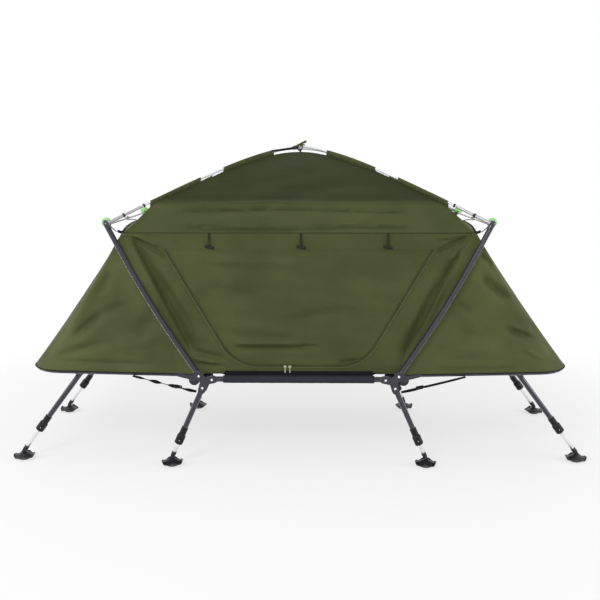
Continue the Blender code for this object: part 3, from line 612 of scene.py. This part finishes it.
def crease(x, z, x1, z1, x2, z2, width, depth, fade):
    """One fold: a soft ridge (depth above 0) or valley along a line from x1, z1 to x2, z2, with
    a bell-shaped section across it that fades out towards both ends."""
    dx, dz = x2 - x1, z2 - z1
    length = math.hypot(dx, dz)
    along = ((x - x1) * dx + (z - z1) * dz) / length ** 2
    off = ((x - x1) * dz - (z - z1) * dx) / length
    ends = ease(along / fade) * ease((1 - along) / fade)
    return FOLD_DEPTH * depth * np.exp(-(off / width) ** 2) * ends


def folded(x, z, folds):
    """The sum of a table's folds, whose sizes are in millimetres."""
    total = np.zeros(np.broadcast(x, z).shape)
    for *sizes, fade in folds:
        total = total + crease(x, z, *[size / 1000 for size in sizes], fade)
    return total


def drift(a, b, turn=0.0):
    """Slack of hung cloth: a sum of five slanted waves from 8 to 40 cm long, within about 1."""
    total = 0.40 * np.sin(17 * a + 9 * b + turn) + 0.25 * np.sin(31 * b - 12 * a + 2 * turn)
    total = total + 0.20 * np.sin(47 * a + 23 * b - turn) + 0.15 * np.sin(66 * b + 19 * a)
    return total + 0.12 * np.sin(78 * a - 41 * b + 3 * turn)


# One fold a row: start x and z, end x and z, width and depth in millimetres, and the share of
# its length over which each end fades
FRONT_FOLDS = (
    (-640, 910, -392, 400, 36, -11, 0.16), (-560, 800, -380, 500, 16, -5, 0.35),
    (-600, 900, -355, 470, 30, 6, 0.2), (-640, 905, -500, 850, 8, 6, 0.2),
    (-630, 890, -470, 800, 10, -6, 0.2), (-640, 912, -380, 895, 8, 4, 0.2),
    (-415, 452, -270, 418, 12, -6, 0.3), (-430, 430, -290, 400, 10, 5, 0.3),
    (-400, 405, -270, 392, 8, -4, 0.3), (640, 910, 396, 400, 36, -11, 0.16),
    (545, 760, 400, 470, 16, -5, 0.35), (600, 880, 375, 480, 30, 6, 0.2),
    (645, 909, 511, 883, 7, 5, 0.2), (638, 896, 494, 825, 9, -6, 0.2),
    (633, 884, 565, 800, 10, 6, 0.2),
)
DOOR_FOLDS = (
    (-262, 466, 60, 467, 10, -7, 0.18), (-262, 486, 20, 484, 12, 5, 0.2),
    (0, 474, 90, 468, 8, -4, 0.3), (-100, 560, 230, 618, 22, -6, 0.3),
    (-300, 560, 50, 530, 30, 5, 0.3), (-380, 700, -120, 660, 22, -4, 0.3),
    (-420, 800, 100, 790, 16, 3, 0.3), (140, 405, 250, 420, 8, -4, 0.3),
    (150, 760, 440, 720, 30, -4, 0.3),
)
LEFT_FOLDS = (
    (-985, 412, -690, 500, 17, -6, 0.3), (-1010, 395, -880, 560, 20, -8, 0.2),
    (-640, 520, -500, 600, 34, -7, 0.35), (-880, 490, -740, 610, 15, -8, 0.3),
    (-790, 580, -610, 650, 20, -6, 0.4), (-900, 455, -720, 560, 24, 6, 0.35),
    (-770, 660, -700, 770, 16, -6, 0.4), (-990, 412, -540, 396, 12, -5, 0.3),
    (-660, 850, -560, 560, 40, 6, 0.3), (-720, 470, -540, 500, 26, 6, 0.4),
)
RIGHT_FOLDS = (
    (672, 830, 735, 775, 10, -6, 0.25), (672, 752, 815, 632, 16, -8, 0.3),
    (560, 640, 660, 470, 34, -6, 0.35), (560, 430, 800, 500, 26, 6, 0.4),
    (690, 770, 860, 640, 14, 6, 0.25), (775, 545, 930, 486, 14, -8, 0.3),
    (790, 565, 900, 520, 11, 6, 0.25), (590, 643, 655, 600, 14, -5, 0.3),
    (1010, 400, 880, 560, 16, -7, 0.15), (945, 416, 850, 470, 8, 4, 0.3),
    (500, 400, 860, 405, 14, 5, 0.3),
)
BACK_FOLDS = (
    (640, 910, 400, 400, 24, -11, 0.12), (640, 900, 100, 620, 30, 6, 0.2),
    (620, 900, 220, 450, 28, -6, 0.2), (-50, 470, 300, 430, 16, -5, 0.25),
)
# Level, width, depth and slant of each long crease on the roof's front and back
ROOF_FOLDS = ((1.0060, 0.0090, 0.0080, 0.006), (0.9880, 0.0065, -0.0100, -0.010),
              (0.9700, 0.0120, 0.0040, 0.012), (0.9480, 0.0080, -0.0030, -0.016),
              (0.9220, 0.0070, -0.0090, 0.004), (0.9340, 0.0060, 0.0060, -0.004),
              (1.0700, 0.0140, -0.0060, 0.030), (1.1000, 0.0120, 0.0040, -0.030))


def wall_edge(z):
    """Half width of the front and back walls: a straight lean outwards from deck to eave."""
    return WALL_FOOT_X + (WALL_TOP_X - WALL_FOOT_X) * (z - DECK_TOP_Z) / (EAVE_Z - DECK_TOP_Z)


def door_edge(z):
    """Half width of the doorway at a height: straight sides that lean out, and low corners
    rounded with a quarter circle."""
    (x2, z2), (x1, z1) = DOOR_TOP, DOOR_LOW
    t = np.clip((z1 + DOOR_CORNER - z) / DOOR_CORNER, 0, 1)
    rounded = DOOR_CORNER * (1 - np.sqrt(np.maximum(1 - t * t, 0)))
    return x1 + (x2 - x1) * (z - z1) / (z2 - z1) - rounded


def low_corner(count):
    """Heights down the doorway's rounded low corner, at even angles of a quarter circle."""
    return CORNER_Z - DOOR_CORNER * np.sin(np.linspace(0, math.pi / 2, count))


def front_relief(x, z):
    """How far the front cloth stands out: the sum of its folds, held at the top seam, and flat
    along the doorway, so that door and wall meet in one plane."""
    total = folded(x, z, FRONT_FOLDS) + FRONT_SLACK * drift(x, z, 0.7)
    total = total * ease((EAVE_Z - z) / 0.02 + 0.05) * ease((z - HEM_Z) / 0.02)
    total = total * ease((wall_edge(z) - np.abs(x)) / 0.014)
    return total * ease((np.abs(x) - door_edge(np.clip(z, DOOR_LOW[1], DOOR_TOP[1]))) / 0.03)


def door_relief(x, z):
    """Folds of the door cloth, held along its zip and its top edge."""
    total = folded(x, z, DOOR_FOLDS) + DOOR_SLACK * drift(x * 0.6, z * 1.5, 2.1)
    inside = (door_edge(z) - np.abs(x)) / 0.03
    return total * ease(inside) * ease((DOOR_TOP[1] - z) / 0.02) * ease((z - DOOR_LOW[1]) / 0.015)


def door_line(count):
    """The doorway's outline from its top left corner down, round the two low corners and up to
    the top right, as even steps of (x, z)."""
    z = np.concatenate([np.linspace(DOOR_TOP[1], CORNER_Z, 40)[:-1], low_corner(24)])
    right = np.stack([door_edge(z), z], 1)
    right = np.vstack([right, np.stack([np.linspace(right[-1, 0], 0, 20)[1:],
                                        np.full(19, DOOR_LOW[1])], 1)])
    return even(np.vstack([right * [-1, 1], right[-2::-1]]), count)


def front_wall(side):
    """Half of the front cloth as one grid round the doorway: the inner edge follows the door's
    top, side and low corner, the outer edge the top seam, the upright and the hem."""
    inner_z = np.concatenate([np.full(59, DOOR_TOP[1]), np.linspace(DOOR_TOP[1], CORNER_Z, 130),
                              low_corner(18)[1:], np.full(60, DOOR_LOW[1])])
    outer_z = np.concatenate([np.full(59, TOP_Z), np.linspace(TOP_Z, CORNER_Z, 130),
                              np.linspace(CORNER_Z, HEM_Z, 18)[1:], np.full(60, HEM_Z)])
    run = np.concatenate([np.linspace(0, 1, 60)[:-1], np.ones(147), np.linspace(1, 0, 61)[1:]])
    inner_x = door_edge(inner_z) * run
    outer_x = (wall_edge(outer_z) + SIDE_HEM) * run
    beside_bracket = ease((outer_x - BRACKET_X) / 0.016) * (outer_z < HEM_Z + 0.02)
    outer_z -= (HEM_Z - DECK_TOP_Z - 0.0004) * beside_bracket
    v = np.linspace(0, 1, 64)
    x = inner_x[:, None] + (outer_x - inner_x)[:, None] * v
    z = inner_z[:, None] + (outer_z - inner_z)[:, None] * v
    return xyz(side * x, -WALL_Y - front_relief(side * x, z), z)


def door_cloth(side):
    """Half of the door cloth: x = s times the doorway's half width, z from low to top edge."""
    z = np.concatenate([low_corner(18)[:0:-1],
                        np.linspace(CORNER_Z, DOOR_TOP[1] - DOOR_GAP, 140)])[:, None]
    x = (door_edge(z) - DOOR_GAP) * np.linspace(0, side, 115)
    return xyz(x, -WALL_Y - door_relief(x, z), z)


def back_wall(side):
    """Half of the back cloth, with long soft folds down from its top corners."""
    low = DECK_TOP_Z + 0.0003
    z = np.linspace(low, TOP_Z, 120)[:, None]
    x = (wall_edge(z) + SIDE_HEM) * np.linspace(0, 1, 140)[None]
    out = folded(x, z, BACK_FOLDS) + BACK_SLACK * drift(side * x, z, 1.5)
    out = out * ease((TOP_Z - z) / 0.02) * ease((z - low) / 0.03) * ease((wall_edge(z) - x) / 0.02)
    return xyz(side * x, WALL_Y + out, z)


def end_wall(side):
    """End cloth from its hem on the bow up to the roof's edge. Across: the bow's line; up:
    straight to the band's foot, then the band. The folds stand off the front and back faces."""
    columns, rows, band_share = 300, 110, 0.9
    foot = bow_line(TUBE_R + CLOTH_THICK, columns)
    u, v = np.linspace(0, 1, columns), np.linspace(0, 1, rows)
    turn = np.clip((u - 0.5) / TURN_SHARE, -1, 1)
    lean = np.clip(np.minimum(u, 1 - u) / (0.5 - TURN_SHARE), 0, 1)
    middle = lean * (1 - turn ** 2)
    top_x = WALL_TOP_X + (CORNER_X - WALL_TOP_X) * lean + ROOF_BULGE * middle
    band_x = wall_edge(BAND_Z) * (1 - lean) + BAND_X * lean + ROOF_BULGE * middle
    top_y = (WALL_Y + 0.0016) * turn
    top = xyz(top_x, top_y, TOP_Z + ROOF_LIFT * middle)
    band = xyz(band_x, top_y, BAND_Z)
    near_hinge = ease((foot[:, 0] - WALL_FOOT_X) / 0.06)
    base = xyz(foot[:, 0], foot[:, 1], bow_z(foot[:, 0]) + 0.0025 - 0.0045 * (1 - near_hinge))
    rise = np.clip(v / band_share, 0, 1)[:, None, None]
    up = np.clip((v - band_share) / (1 - band_share), 0, 1)[:, None, None]
    points = np.where(up > 0, band + (top - band) * up, base + (band - base) * rise)
    x, y, z = points[..., 0], points[..., 1], points[..., 2]
    out = folded(side * x, z, LEFT_FOLDS if side < 0 else RIGHT_FOLDS)
    out = out + END_SLACK * drift(side * x + 0.6 * y, z, 0.3)
    held = ease(v / 0.06)[:, None] * ease((1 - v) / 0.06)[:, None]
    held = held * ease(np.minimum(u, 1 - u) / 0.02)[None]
    belly = np.sin(math.pi * rise[..., 0])
    hollow = 0.010 * belly * np.abs(np.sin(math.pi * 4 * u))
    facing = np.clip(np.abs(turn) * 1.5 - 0.5, 0, 1)
    points[..., 1] += np.sign(y) * (out * facing - 0.003 * belly) * held
    points[..., 0] -= hollow * (1 - facing) * held
    mirror = np.array([side, 1, 1.0])
    return base * mirror, points * mirror, top * mirror


def roof(side):
    """Half of the roof, x from 0 to its end edge: the height of roof_height, with hollows
    between the hips and long creases along the front and back."""
    x = np.linspace(0, 1, 140)[None]
    y = np.linspace(-1, 1, 181)[:, None]
    px, py = side * x * (ROOF_X + ROOF_BULGE * (1 - y ** 2) * x), y * WALL_Y + 0 * x
    edge = np.maximum(x, np.abs(y))
    least = np.minimum(x, np.abs(y))
    slack = (1 - (least / np.maximum(edge, 1e-6)) ** 2) * np.sin(math.pi * edge) * 0.010
    ripple = 0.0026 * np.sin(70 * np.abs(py) + 3 * np.sin(7 * px)) * np.clip(edge * 1.3, 0, 1)
    ripple = ripple + 0.0018 * np.sin(150 * np.abs(py) + 5 * np.sin(9 * px + 1)) * (edge > STEEP)
    z = roof_height(x, y) - slack + ripple * ease((1 - edge) / 0.08)
    stand = np.zeros(z.shape)
    for level, width, depth, slant in ROOF_FOLDS:
        off = (z - level - slant * px - 0.004 * np.sin(9 * px + 40 * level)) / width
        stand = stand + depth * np.exp(-off ** 2)
    stand = stand * ease((0.78 - x) / 0.25) * ease((np.abs(y) - 0.55) / 0.25)
    stand = stand * ease((z - EAVE_Z) / 0.006)
    return xyz(px, py + 0.8 * np.sign(y) * stand, z + 0.6 * stand)


# Poles, sleeves and what holds them
def pole_path(side, front, first, last, lift, count):
    """A half pole over the given shares of its way out from the crossing: x and y in even steps,
    z at pole_height, and the upper pole lifted over the crossing by a bell shape."""
    share = np.linspace(first, last, count)
    bump = lift * np.exp(-(share / CROSS_WIDTH) ** 2)
    return xyz(side * HOOP_CORNER[0] * share, front * SIDE_Y * share, pole_height(share) + bump)


def sleeve(side, front, first, last, lift):
    """A sleeve band: a loop over the pole whose two layers come down to the roof. Across the
    pole the section goes down one side, over the pole in a half circle and down the other."""
    path = pole_path(side, front, first, last, lift, 44)
    square = np.array([front * SIDE_Y, -side * HOOP_CORNER[0], 0.0])
    square /= np.linalg.norm(square)
    px, py = np.abs(path[:, 0]) / ROOF_X, np.abs(path[:, 1]) / WALL_Y
    leg = path[:, 2] - (roof_height(px, py) - 0.003)
    r = POLE_R + 0.0016
    t = np.linspace(0, math.pi, 13)
    down = np.linspace(1, 0, 7)[:-1]
    s = np.linspace(0, 1, len(path))
    pucker = 0.0016 * np.sin(s * 40 + front) * np.sin(math.pi * s)
    near, far = [[(way * r * (1 - 0.72 * k) + pucker * (1 - k) * k * 4, -leg * k) for k in down]
                 for way in (1, -1)]
    over = [(w + 0 * leg, h + 0 * leg) for w, h in zip(r * np.cos(t), r * np.sin(t))]
    return np.stack([path + square * w[:, None] + np.array([0, 0, 1.0]) * h[:, None]
                     for w, h in near + over + far[::-1]], 1)


def follow(piece):
    """Bakes a piece's placing into its mesh."""
    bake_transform(piece)


def build_poles():
    """Each half pole is a rod along pole_path, and so are its socket, ferrule, clip and the ring
    with its bulge of half a sine. Two sleeves lie over it, with rods for their stitching."""
    bulge = RING_R + 0.0012 * np.sin(np.linspace(0, math.pi, 9))
    ring_start = POLE_START - 0.006
    for word, turn, lift in (("lower", 1, 0.0), ("upper", -1, POLE_R * 2 + 0.0006)):
        for side, end in SIDES:
            front, hoop = side * turn, end + "_hoop"
            corner = f"{end}_{'back' if front > 0 else 'front'}"

            def along(first, last, count, radius, around, rise=0):
                return [rod(pole_path(side, front, first, last, rise, count), radius, around, UP)]

            pole = make(f"{end}_{word}_pole", along(0, POLE_START - 0.012, 90, POLE_R, 20, lift),
                        "pale", instead=word + "_arch_pole")
            follow(pole)
            make(corner + "_pole_socket",
                 along(POLE_START - 0.004, SOCKET_END, 12, SOCKET_R, 24), "socket", hoop)
            make(corner + "_pole_ferrule",
                 along(FERRULE_START, ring_start, 14, FERRULE_R, 20), "socket", hoop)
            make(corner + "_socket_ring",
                 along(ring_start, POLE_START + 0.002, 9, bulge, 28), "plastic", hoop, sharp=35)
            clip = make(corner + "_pole_clip", along(*CLIP_SHARES, 9, bulge * 0.86, 24), "plastic")
            follow(clip)
            for first, last in SLEEVE_SHARES:
                points = sleeve(side, front, first, last, lift)
                at = f"{corner}_sleeve_{round(first * 100)}"
                band = cloth(at, points, "canopy", flip=side * front > 0)
                seams = [rod(points[2:-2, k], 0.0011, 8, UP) for k in (3, -4)]
                seams += [rod(points[1:-1, k], 0.0017, 8, UP) for k in (0, -1)]
                stitching = make(at + "_stitching", seams, "tape")
                follow(band)
                follow(stitching)


def build_tie():
    """The tie at the crossing, ribbons and rods along splines: a dark tape along the front left
    pole from its sleeve, an olive end that stands up past the crossing, two rings round both
    poles and a black loop to the roof."""
    sway = np.sin(np.linspace(0, math.pi, 40))
    along = pole_path(-1, -1, 0.008, 0.160, 0, 40) + xyz(0, -0.0055, 0.0035 - 0.003 * sway)
    tape = ribbon(along, (0.10, 0, 1), 0.0085, 0.0014)
    high = POLE_TOP + POLE_R * 3 + 0.0010
    end = smooth([0, 0, high] + mm((-30, -12, -10), (-18, -14, -6), (0, -12, 3), (14, -10, 10),
                                   (27, -8, 14)), 30)
    tail = smooth([0, 0, high] + mm((-22, -16, -16), (-12, -15, -4), (2, -12, 1), (20, -6, -1)),
                  24)
    drop = smooth([0, 0, POLE_TOP] + mm((3, -10, -4), (2, -11.5, -10), (3, -11, -15.5)), 14)
    t = np.linspace(0, math.tau, 44)
    rings = [rod(xyz(shift + 0.0075 * np.sin(t), 0.0110 * np.sin(t) * lean,
                     POLE_TOP + 0.0045 + 0.0125 * np.cos(t)), 0.0017, 10, ACROSS)
             for shift, lean in ((-0.0020, 1), (0.0024, -1))]
    make("ridge_tie_tape", [tape], "webbing", "centre", "ridge_tie", 35)
    make("ridge_tie_end", [ribbon(end, (0.25, 0.1, 0.96), 0.0110, 0.0014),
                           ribbon(tail, (0.2, 0.5, 0.84), 0.0090, 0.0014)],
         "canopy", "centre", sharp=35)
    make("ridge_tie_loop", rings + [ribbon(drop, ACROSS, 0.0070, 0.0016)],
         "webbing", "centre", sharp=35)


def build_corners():
    """At each corner of the hoops a rod round the bend, a turned green connector, a hook of rods
    along splines with a turned knob, and a webbing tab. On each cross bar one bent hook."""
    foot, corner = np.array(UPRIGHT_PIN), np.array(HOOP_CORNER)
    below = corner - (corner - foot) / np.linalg.norm(corner - foot) * ELBOW_REACH
    start = np.array([below[0], SIDE_Y, below[1]])
    top = np.array([corner[0], SIDE_Y, corner[1]])
    turn = top - [0, 0.012, 0]
    path = smooth([start, start * 0.5 + top * 0.5, top * 0.72 + turn * 0.28, turn,
                   top - [0, ELBOW_REACH, 0]], 22)
    radius = 0.0110 + 0.0006 * np.exp(-(np.linspace(0, 1, 22) / 0.08) ** 2)
    elbow = rod(path, radius, 32, ACROSS)
    centre = (HOOP_CORNER[0] + 0.0010, SIDE_Y - 0.0190, HOOP_CORNER[1] + 0.0020)
    connector = turned(COLLAR, centre, (0, 1, 0), 40)
    hook = smooth(mm((716.5, 336, 943), (709, 339, 936), (700, 344, 925), (690, 347, 917)), 14)
    knob = turned(KNOB, (0.7075, 0.340, 0.935), (0, 1, 0), 20)
    cord = smooth(mm((690.5, 347, 917.5), (684, 348, 911.5), (676, 348.8, 910),
                     (667, 349.2, 910.5)), 16)
    black = [rod(hook, 0.0020, 12), knob, rod(cord, 0.0015, 10)]
    tab = smooth(mm((676, 348.8, 911.5), (666, 349.4, 908), (652, 349.8, 905)), 9)
    tab = ribbon(tab, UP, 0.011, 0.0016)
    bend = smooth(mm((668, 0, 921), (684, 0, 928), (700, 0, 929.5), (716.5, 0, 928.5),
                     (723.5, 0, 934.5), (716.5, 0, 940.5), (708.5, 0, 937.5)), 26)
    bar_hook = rod(bend, 0.0018, 12, wide=2.6)
    for side, end in SIDES:
        hoop = end + "_hoop"
        for front, word in FACES:
            name, at = f"{end}_{word}_corner", (side, front)
            make(name + "_elbow", [elbow], "tube", hoop, at=at)
            make(name + "_connector", [connector], "green", hoop, name + "_joint", 50, at)
            make(name + "_hook", black, "plastic", hoop, at=at)
            make(name + "_tab", [tab], "webbing", hoop, sharp=35, at=at)
        make(end + "_bar_hooks", [bar_hook], "plastic", hoop, at=(side, 1))


def build_canopy():
    """The canopy's cloths, each in two halves that meet at x = 0, and rods along their edges
    for the hem piping and the seams."""
    for side, end in SIDES:
        left = side < 0
        top = cloth(end + "_roof_cloth", roof(side), "roof",
                    "canopy_roof", left)
        follow(top)
        front = cloth(end + "_front_cloth", front_wall(side), "canopy",
                      "front_wall", left)
        follow(front)
        back = cloth(end + "_back_cloth", back_wall(side), "canopy", "back_wall",
                     not left)
        follow(back)
        hem, points, edge = end_wall(side)
        wall = cloth(end + "_end_cloth", points, "end", end + "_end_wall", left)
        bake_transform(wall)
        make(end + "_hem_piping", [rod(hem, 0.0024, 10, UP)], "webbing", end + "_end")
        make(end + "_end_seam", [rod(edge + [side * SEAM_OUT, 0, 0], 0.0022, 10, UP)], "tape",
             end + "_hoop")
        for front, word in FACES:
            line = xyz(side * np.linspace(0, 0.652, 60), front * (WALL_Y + SEAM_OUT), SEAM_Z)
            seam = make(f"{end}_{word}_seam", [rod(line, 0.0016, 10)], "tape")
            follow(seam)
    for side, end in SIDES:
        door = cloth(end + "_door_cloth", door_cloth(side), "canopy",
                     "door_flap", side < 0)
        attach(door, "door")
        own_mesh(door)


def build_zip():
    """The zip round the doorway: a dark tape on the cloth, a pale cord beside it, and two pulls
    that hang below its lowest run, each a bevelled slab with a long tag."""
    line = door_line(401)
    for side, end in SIDES:
        half = line[:201][::-1] if side < 0 else line[200:]
        flat = xyz(half[:, 0], -WALL_Y - SEAM_OUT, half[:, 1])
        out = np.cross(rails(flat), (0, 1, 0)) * side
        tape = make(end + "_zip_tape", [ribbon(flat + out * 0.002, out, 0.014, 0.0010)], "tape",
                    sharp=35)
        cord = make(end + "_zip_cord", [rod(flat - out * 0.003 - [0, 0.0009, 0], 0.0017, 10)],
                    "piping")
        follow(tape)
        follow(cord)
    body = slab(mm((-5, 4.5), (5, 4.5), (6.2, 1), (4, -5), (-4, -5), (-6.2, 1)),
                -0.0022, 0.0022, 0.0008)
    tag = slab(mm((-2.1, 0), (2.1, 0), (2.6, -23), (1.8, -25.5), (-1.8, -25.5), (-2.6, -23)),
               -0.0012, 0.0012, 0.0005)
    face = -WALL_Y - 0.0032
    for (_, word), x in zip(SIDES, ZIP_X):
        make(f"zip_{word}_pull", [moved(body, [x, face, 0.3925]),
                                  moved(tag, [x, face - 0.0018, 0.3905])],
             "zip", "zip_" + word, "zip_pull_" + word, 30)


def build_toggles():
    """Three black toggles: a cord loop from the top seam, round a short bar that hangs flat and
    narrows in the middle and at its ends."""
    t = np.linspace(0, 1, 30)
    loop = mm((-1.6, 0, 904), (-3, -2, 880), (-3.4, -3, 858), (0, -3.5, 851.5), (3.4, -3, 858),
              (3, -2, 880), (1.6, 0, 904))
    radius = 0.0050 * np.sqrt(np.clip(1 - np.abs(2 * t - 1) ** 8, 0.02, 1))
    radius = radius * (1 - 0.22 * np.exp(-((t - 0.5) / 0.10) ** 2))
    for word, x in TOGGLE_X:
        band = smooth(loop + [x, -WALL_Y - 0.0042, 0], 40)
        bar = xyz(x + (t - 0.5) * 0.036, -WALL_Y - 0.0085, 0.8560 - 0.007 * t)
        toggle = make(word + "_toggle", [rod(band, 0.0014, 10), rod(bar, radius, 20)], "toggle")
        if word == "middle":
            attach(toggle, "centre")
        else:
            follow(toggle)


# The bed: deck cloths, rail sleeves, rivets and straps
def build_deck():
    """Deck cloths that sag between their edges by even powers of the way out, wider between the
    brackets; rail sleeves as puffed tubes; bands along the deck with a slab at each end."""
    high = DECK_TOP_Z - 0.0008
    x = np.linspace(-DECK_HALF_X, DECK_HALF_X, 120)[None]
    y = np.linspace(-1, 1, 90)[:, None]
    sag = DECK_SAG * (1 - (x / DECK_HALF_X) ** 6) * (1 - y ** 4)
    ripple = 0.0008 * np.sin(60 * x + 4 * y) * (1 - y ** 4)
    wide = DECK_Y[0] + (DECK_Y[1] - DECK_Y[0]) * ease((0.296 - np.abs(x)) / 0.012)
    deck = cloth("middle_deck_cloth", xyz(x, y * wide, high - sag - ripple), "deck",
                 "middle_deck")
    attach(deck, "centre")
    s, t = np.linspace(-1, 1, 150), np.linspace(0, math.tau, 41)
    puff = RAIL_SLEEVE_R + 0.0003 * np.sin(31 * s) * np.sin(17 * s + 1)
    puff = puff - 0.0004 * (np.abs(s) > 0.985)
    tongue = slab(mm((330, 349), (386, 349), (386, 362.8), (330, 362.8)),
                  0.3448, 0.3462, 0.0004)
    for front, word in FACES:
        line = xyz(s * RAIL_SLEEVE_X, front * SIDE_Y, RAIL_Z)
        grid = line[:, None] + puff[:, None, None] * xyz(0, np.cos(t), np.sin(t))[None]
        around_rail = cloth(word + "_rail_sleeve", grid, "rail cloth",
                            flip=True, thick=0.0010)
        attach(around_rail, "centre")
        band = ribbon(xyz(s * DECK_BAND_X, front * 0.3560, 0.3665), (0, front * 0.62, -0.78),
                      0.0200, 0.0016)
        make(word + "_deck_band", [band] + [put(tongue, side, front) for side in (-1, 1)],
             "deck", "centre", sharp=35)
    foot = bow_line(TUBE_R - 0.0015, 200, start=DECK_HINGE_X)
    inner = np.stack([np.clip(foot[:, 0], DECK_HINGE_X, 0.93), 0 * foot[:, 1]], 1)
    v = np.linspace(0, 1, 46)[:, None]
    plan = inner[None] * (1 - v[..., None]) + foot[None] * v[..., None]
    high = bow_z(plan[..., 0]) + TUBE_R + 0.0016
    high = high - END_SAG * (1 - v ** 4) * ease((plan[..., 0] - 0.41) / 0.08)
    high = high - 0.0045 * np.clip((v - 0.97) / 0.03, 0, 1)
    for side, end in SIDES:
        deck = cloth(end + "_end_deck_cloth", xyz(side * plan[..., 0], plan[..., 1], high),
                     "deck", end + "_end_deck", side > 0)
        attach(deck, end + "_end")


def build_hinge_discs():
    """A round dished plate inside each hinge lug, turned about the hinge's own direction."""
    for side, end in SIDES:
        discs = [turned(DISC, (side * 0.4030, front * 0.3490, 0.3372), (0, front, 0), 40)
                 for front in (-1, 1)]
        make(end + "_hinge_discs", discs, "plate", end + "_end", sharp=50)


def build_rivets():
    """Domed heads, turned, on the three pins of each bracket."""
    for front, word in FACES:
        heads = [turned(DOME, (side * x, front * BRACKET_FACE_Y, z), (0, front, 0), 28)
                 for side in (-1, 1) for x, z in (UPRIGHT_PIN, RAIL_PIN, INNER_PIN)]
        make(word + "_rivets", heads, "rivet", "centre", sharp=60)


def build_straps():
    """A webbing strap from the inner leg's head up to the bow: a ribbon on a sagging line,
    twisted by a wave, doubled at its low end, with an adjuster: a frame with a middle bar."""
    low, high = np.array(STRAP_LOW), np.array(STRAP_HIGH)
    t = np.linspace(0, 1, 70)
    way = low + (high - low) * t[:, None]
    sag = -0.0015 * np.sin(math.pi * t) + 0.0012 * np.exp(-((t - 0.28) / 0.05) ** 2)
    path = xyz(way[:, 0], -STRAP_Y, way[:, 1] + sag)
    under = path[:24] - [0, 0, 0.0019]
    under[:, 2] -= 0.0012 * np.sin(math.pi * np.linspace(0, 1, 24))
    middle, ahead = path[20], rails(path)[20]
    wing = np.array([0, 0.013, 0])
    corners = [middle + ahead * a * 0.013 + wing * b
               for a, b in ((-1, -1), (-1, 1), (1, 1), (1, -1), (-1, -1))]
    rim = np.vstack([np.linspace(p, q, 8)[:-1] for p, q in zip(corners, corners[1:])]
                    + [[corners[0]]]) + [0, 0, 0.0014]
    bar = np.linspace(middle - wing, middle + wing, 8) + [0, 0, 0.0022]
    buckle = [rod(rim, 0.0024, 12, UP), rod(bar, 0.0022, 12, ACROSS)]
    for side, end in SIDES:
        turns = np.sin(math.pi * t) * (0.42 * np.sin(22 * t) if side < 0 else 0.08)
        twist = xyz(0, np.cos(turns), np.sin(turns))
        bands = [ribbon(path, twist, STRAP_WIDE, STRAP_THICK),
                 ribbon(under, twist[:24], STRAP_WIDE, STRAP_THICK)]
        web = make(end + "_strap_webbing", bands, "webbing", end + "_end", end + "_strap", 35,
                   (side, 1))
        slide = make(end + "_strap_adjuster", buckle, "plastic", end + "_end", at=(side, 1))
        for piece in (web, slide):
            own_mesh(piece)


# The legs: silver tubes, forks, buttons and dished feet
def rim_wave(t, r):
    """The foot's rim rises and falls by two sines of the angle, only near its edge."""
    return ease((r - 0.027) / 0.013) * (0.0042 * np.sin(4 * t + 0.9) + 0.0014 * np.sin(9 * t))


def build_legs():
    """The silver tube, its plug and the dished foot are turned profiles; the fork's cheeks and
    the foot's tongue are slabs with a round end, in line with the leg."""
    cheek = np.vstack([mm((8.8, 13.5), (8.4, 16.5), (-8.4, 16.5), (-8.8, 13.5)),
                       arc(0.0070, math.pi, math.tau)])
    tongue = slab(np.vstack([mm((6.8, -12)), arc(0.0068, 0, math.pi), mm((-6.8, -12))]),
                  -0.0038, 0.0038, 0.0006)
    plug = mm((0, 4), (7.9, 4), (9.2, 2.5), (9.4, -6), (8.8, -9.5), (7, -11.5), (0, -11.5))
    for name, pin, lean, length, y in LEGS:
        reach = (pin[1] - ANKLE_Z) / math.cos(lean)
        down = np.array([math.sin(lean), 0, -math.cos(lean)])
        head = np.array([pin[0], y, pin[1]])
        ankle = head + down * reach
        top, hidden = reach - FORK_REACH, HIDDEN_TUBE - length
        slide = turned([(0, hidden), (0.0074, hidden), (0.0080, hidden + 0.001),
                        (0.0080, -top + 0.001), (0.0076, -top), (0, -top)], head, -down, 36)
        fork = [turned(plug - [0, top], head, -down, 36)]
        for way in (-1, 1):
            p, faces = slab(cheek, way * CHEEK_Y - 0.0015, way * CHEEK_Y + 0.0015, 0.0006)
            along = reach - p[:, 2]
            fork.append((xyz(head[0] + down[0] * along + p[:, 0] * math.cos(lean), y + p[:, 1],
                             head[2] + down[2] * along + p[:, 0] * math.sin(lean)), faces))
            fork.append(turned(BOLT, ankle + [0, way * 0.0073, 0], (0, way, 0), 20))
        foot = [turned(DISH, (ankle[0], y, 0), around=72, wave=rim_wave), moved(tongue, ankle)]
        spot = head + down * (length - 0.0133) + [0, CUFF_R - 0.0006, 0]
        button = turned(BUTTON, spot, (0, 1, 0), 24)
        for side, end in SIDES:
            for front, word in FACES:
                leg, at = f"{end}_{name}_{word}", (side, front)
                tube, pad = leg + "_tube", leg + "_foot"
                make(leg + "_silver_tube", [slide], "bright", tube, tube, 40, at)
                make(leg + "_fork", fork, "plate", tube, sharp=40, at=at)
                make(leg + "_dished_foot", foot, "foot", pad, pad, 50, at)
                make(leg + "_button", [button], "socket", f"{end}_{name}_legs", sharp=50, at=at)


set_stage()
dress_frame()
build_poles()
build_tie()
build_corners()
build_canopy()
build_zip()
build_toggles()
build_deck()
build_hinge_discs()
build_rivets()
build_straps()
build_legs()
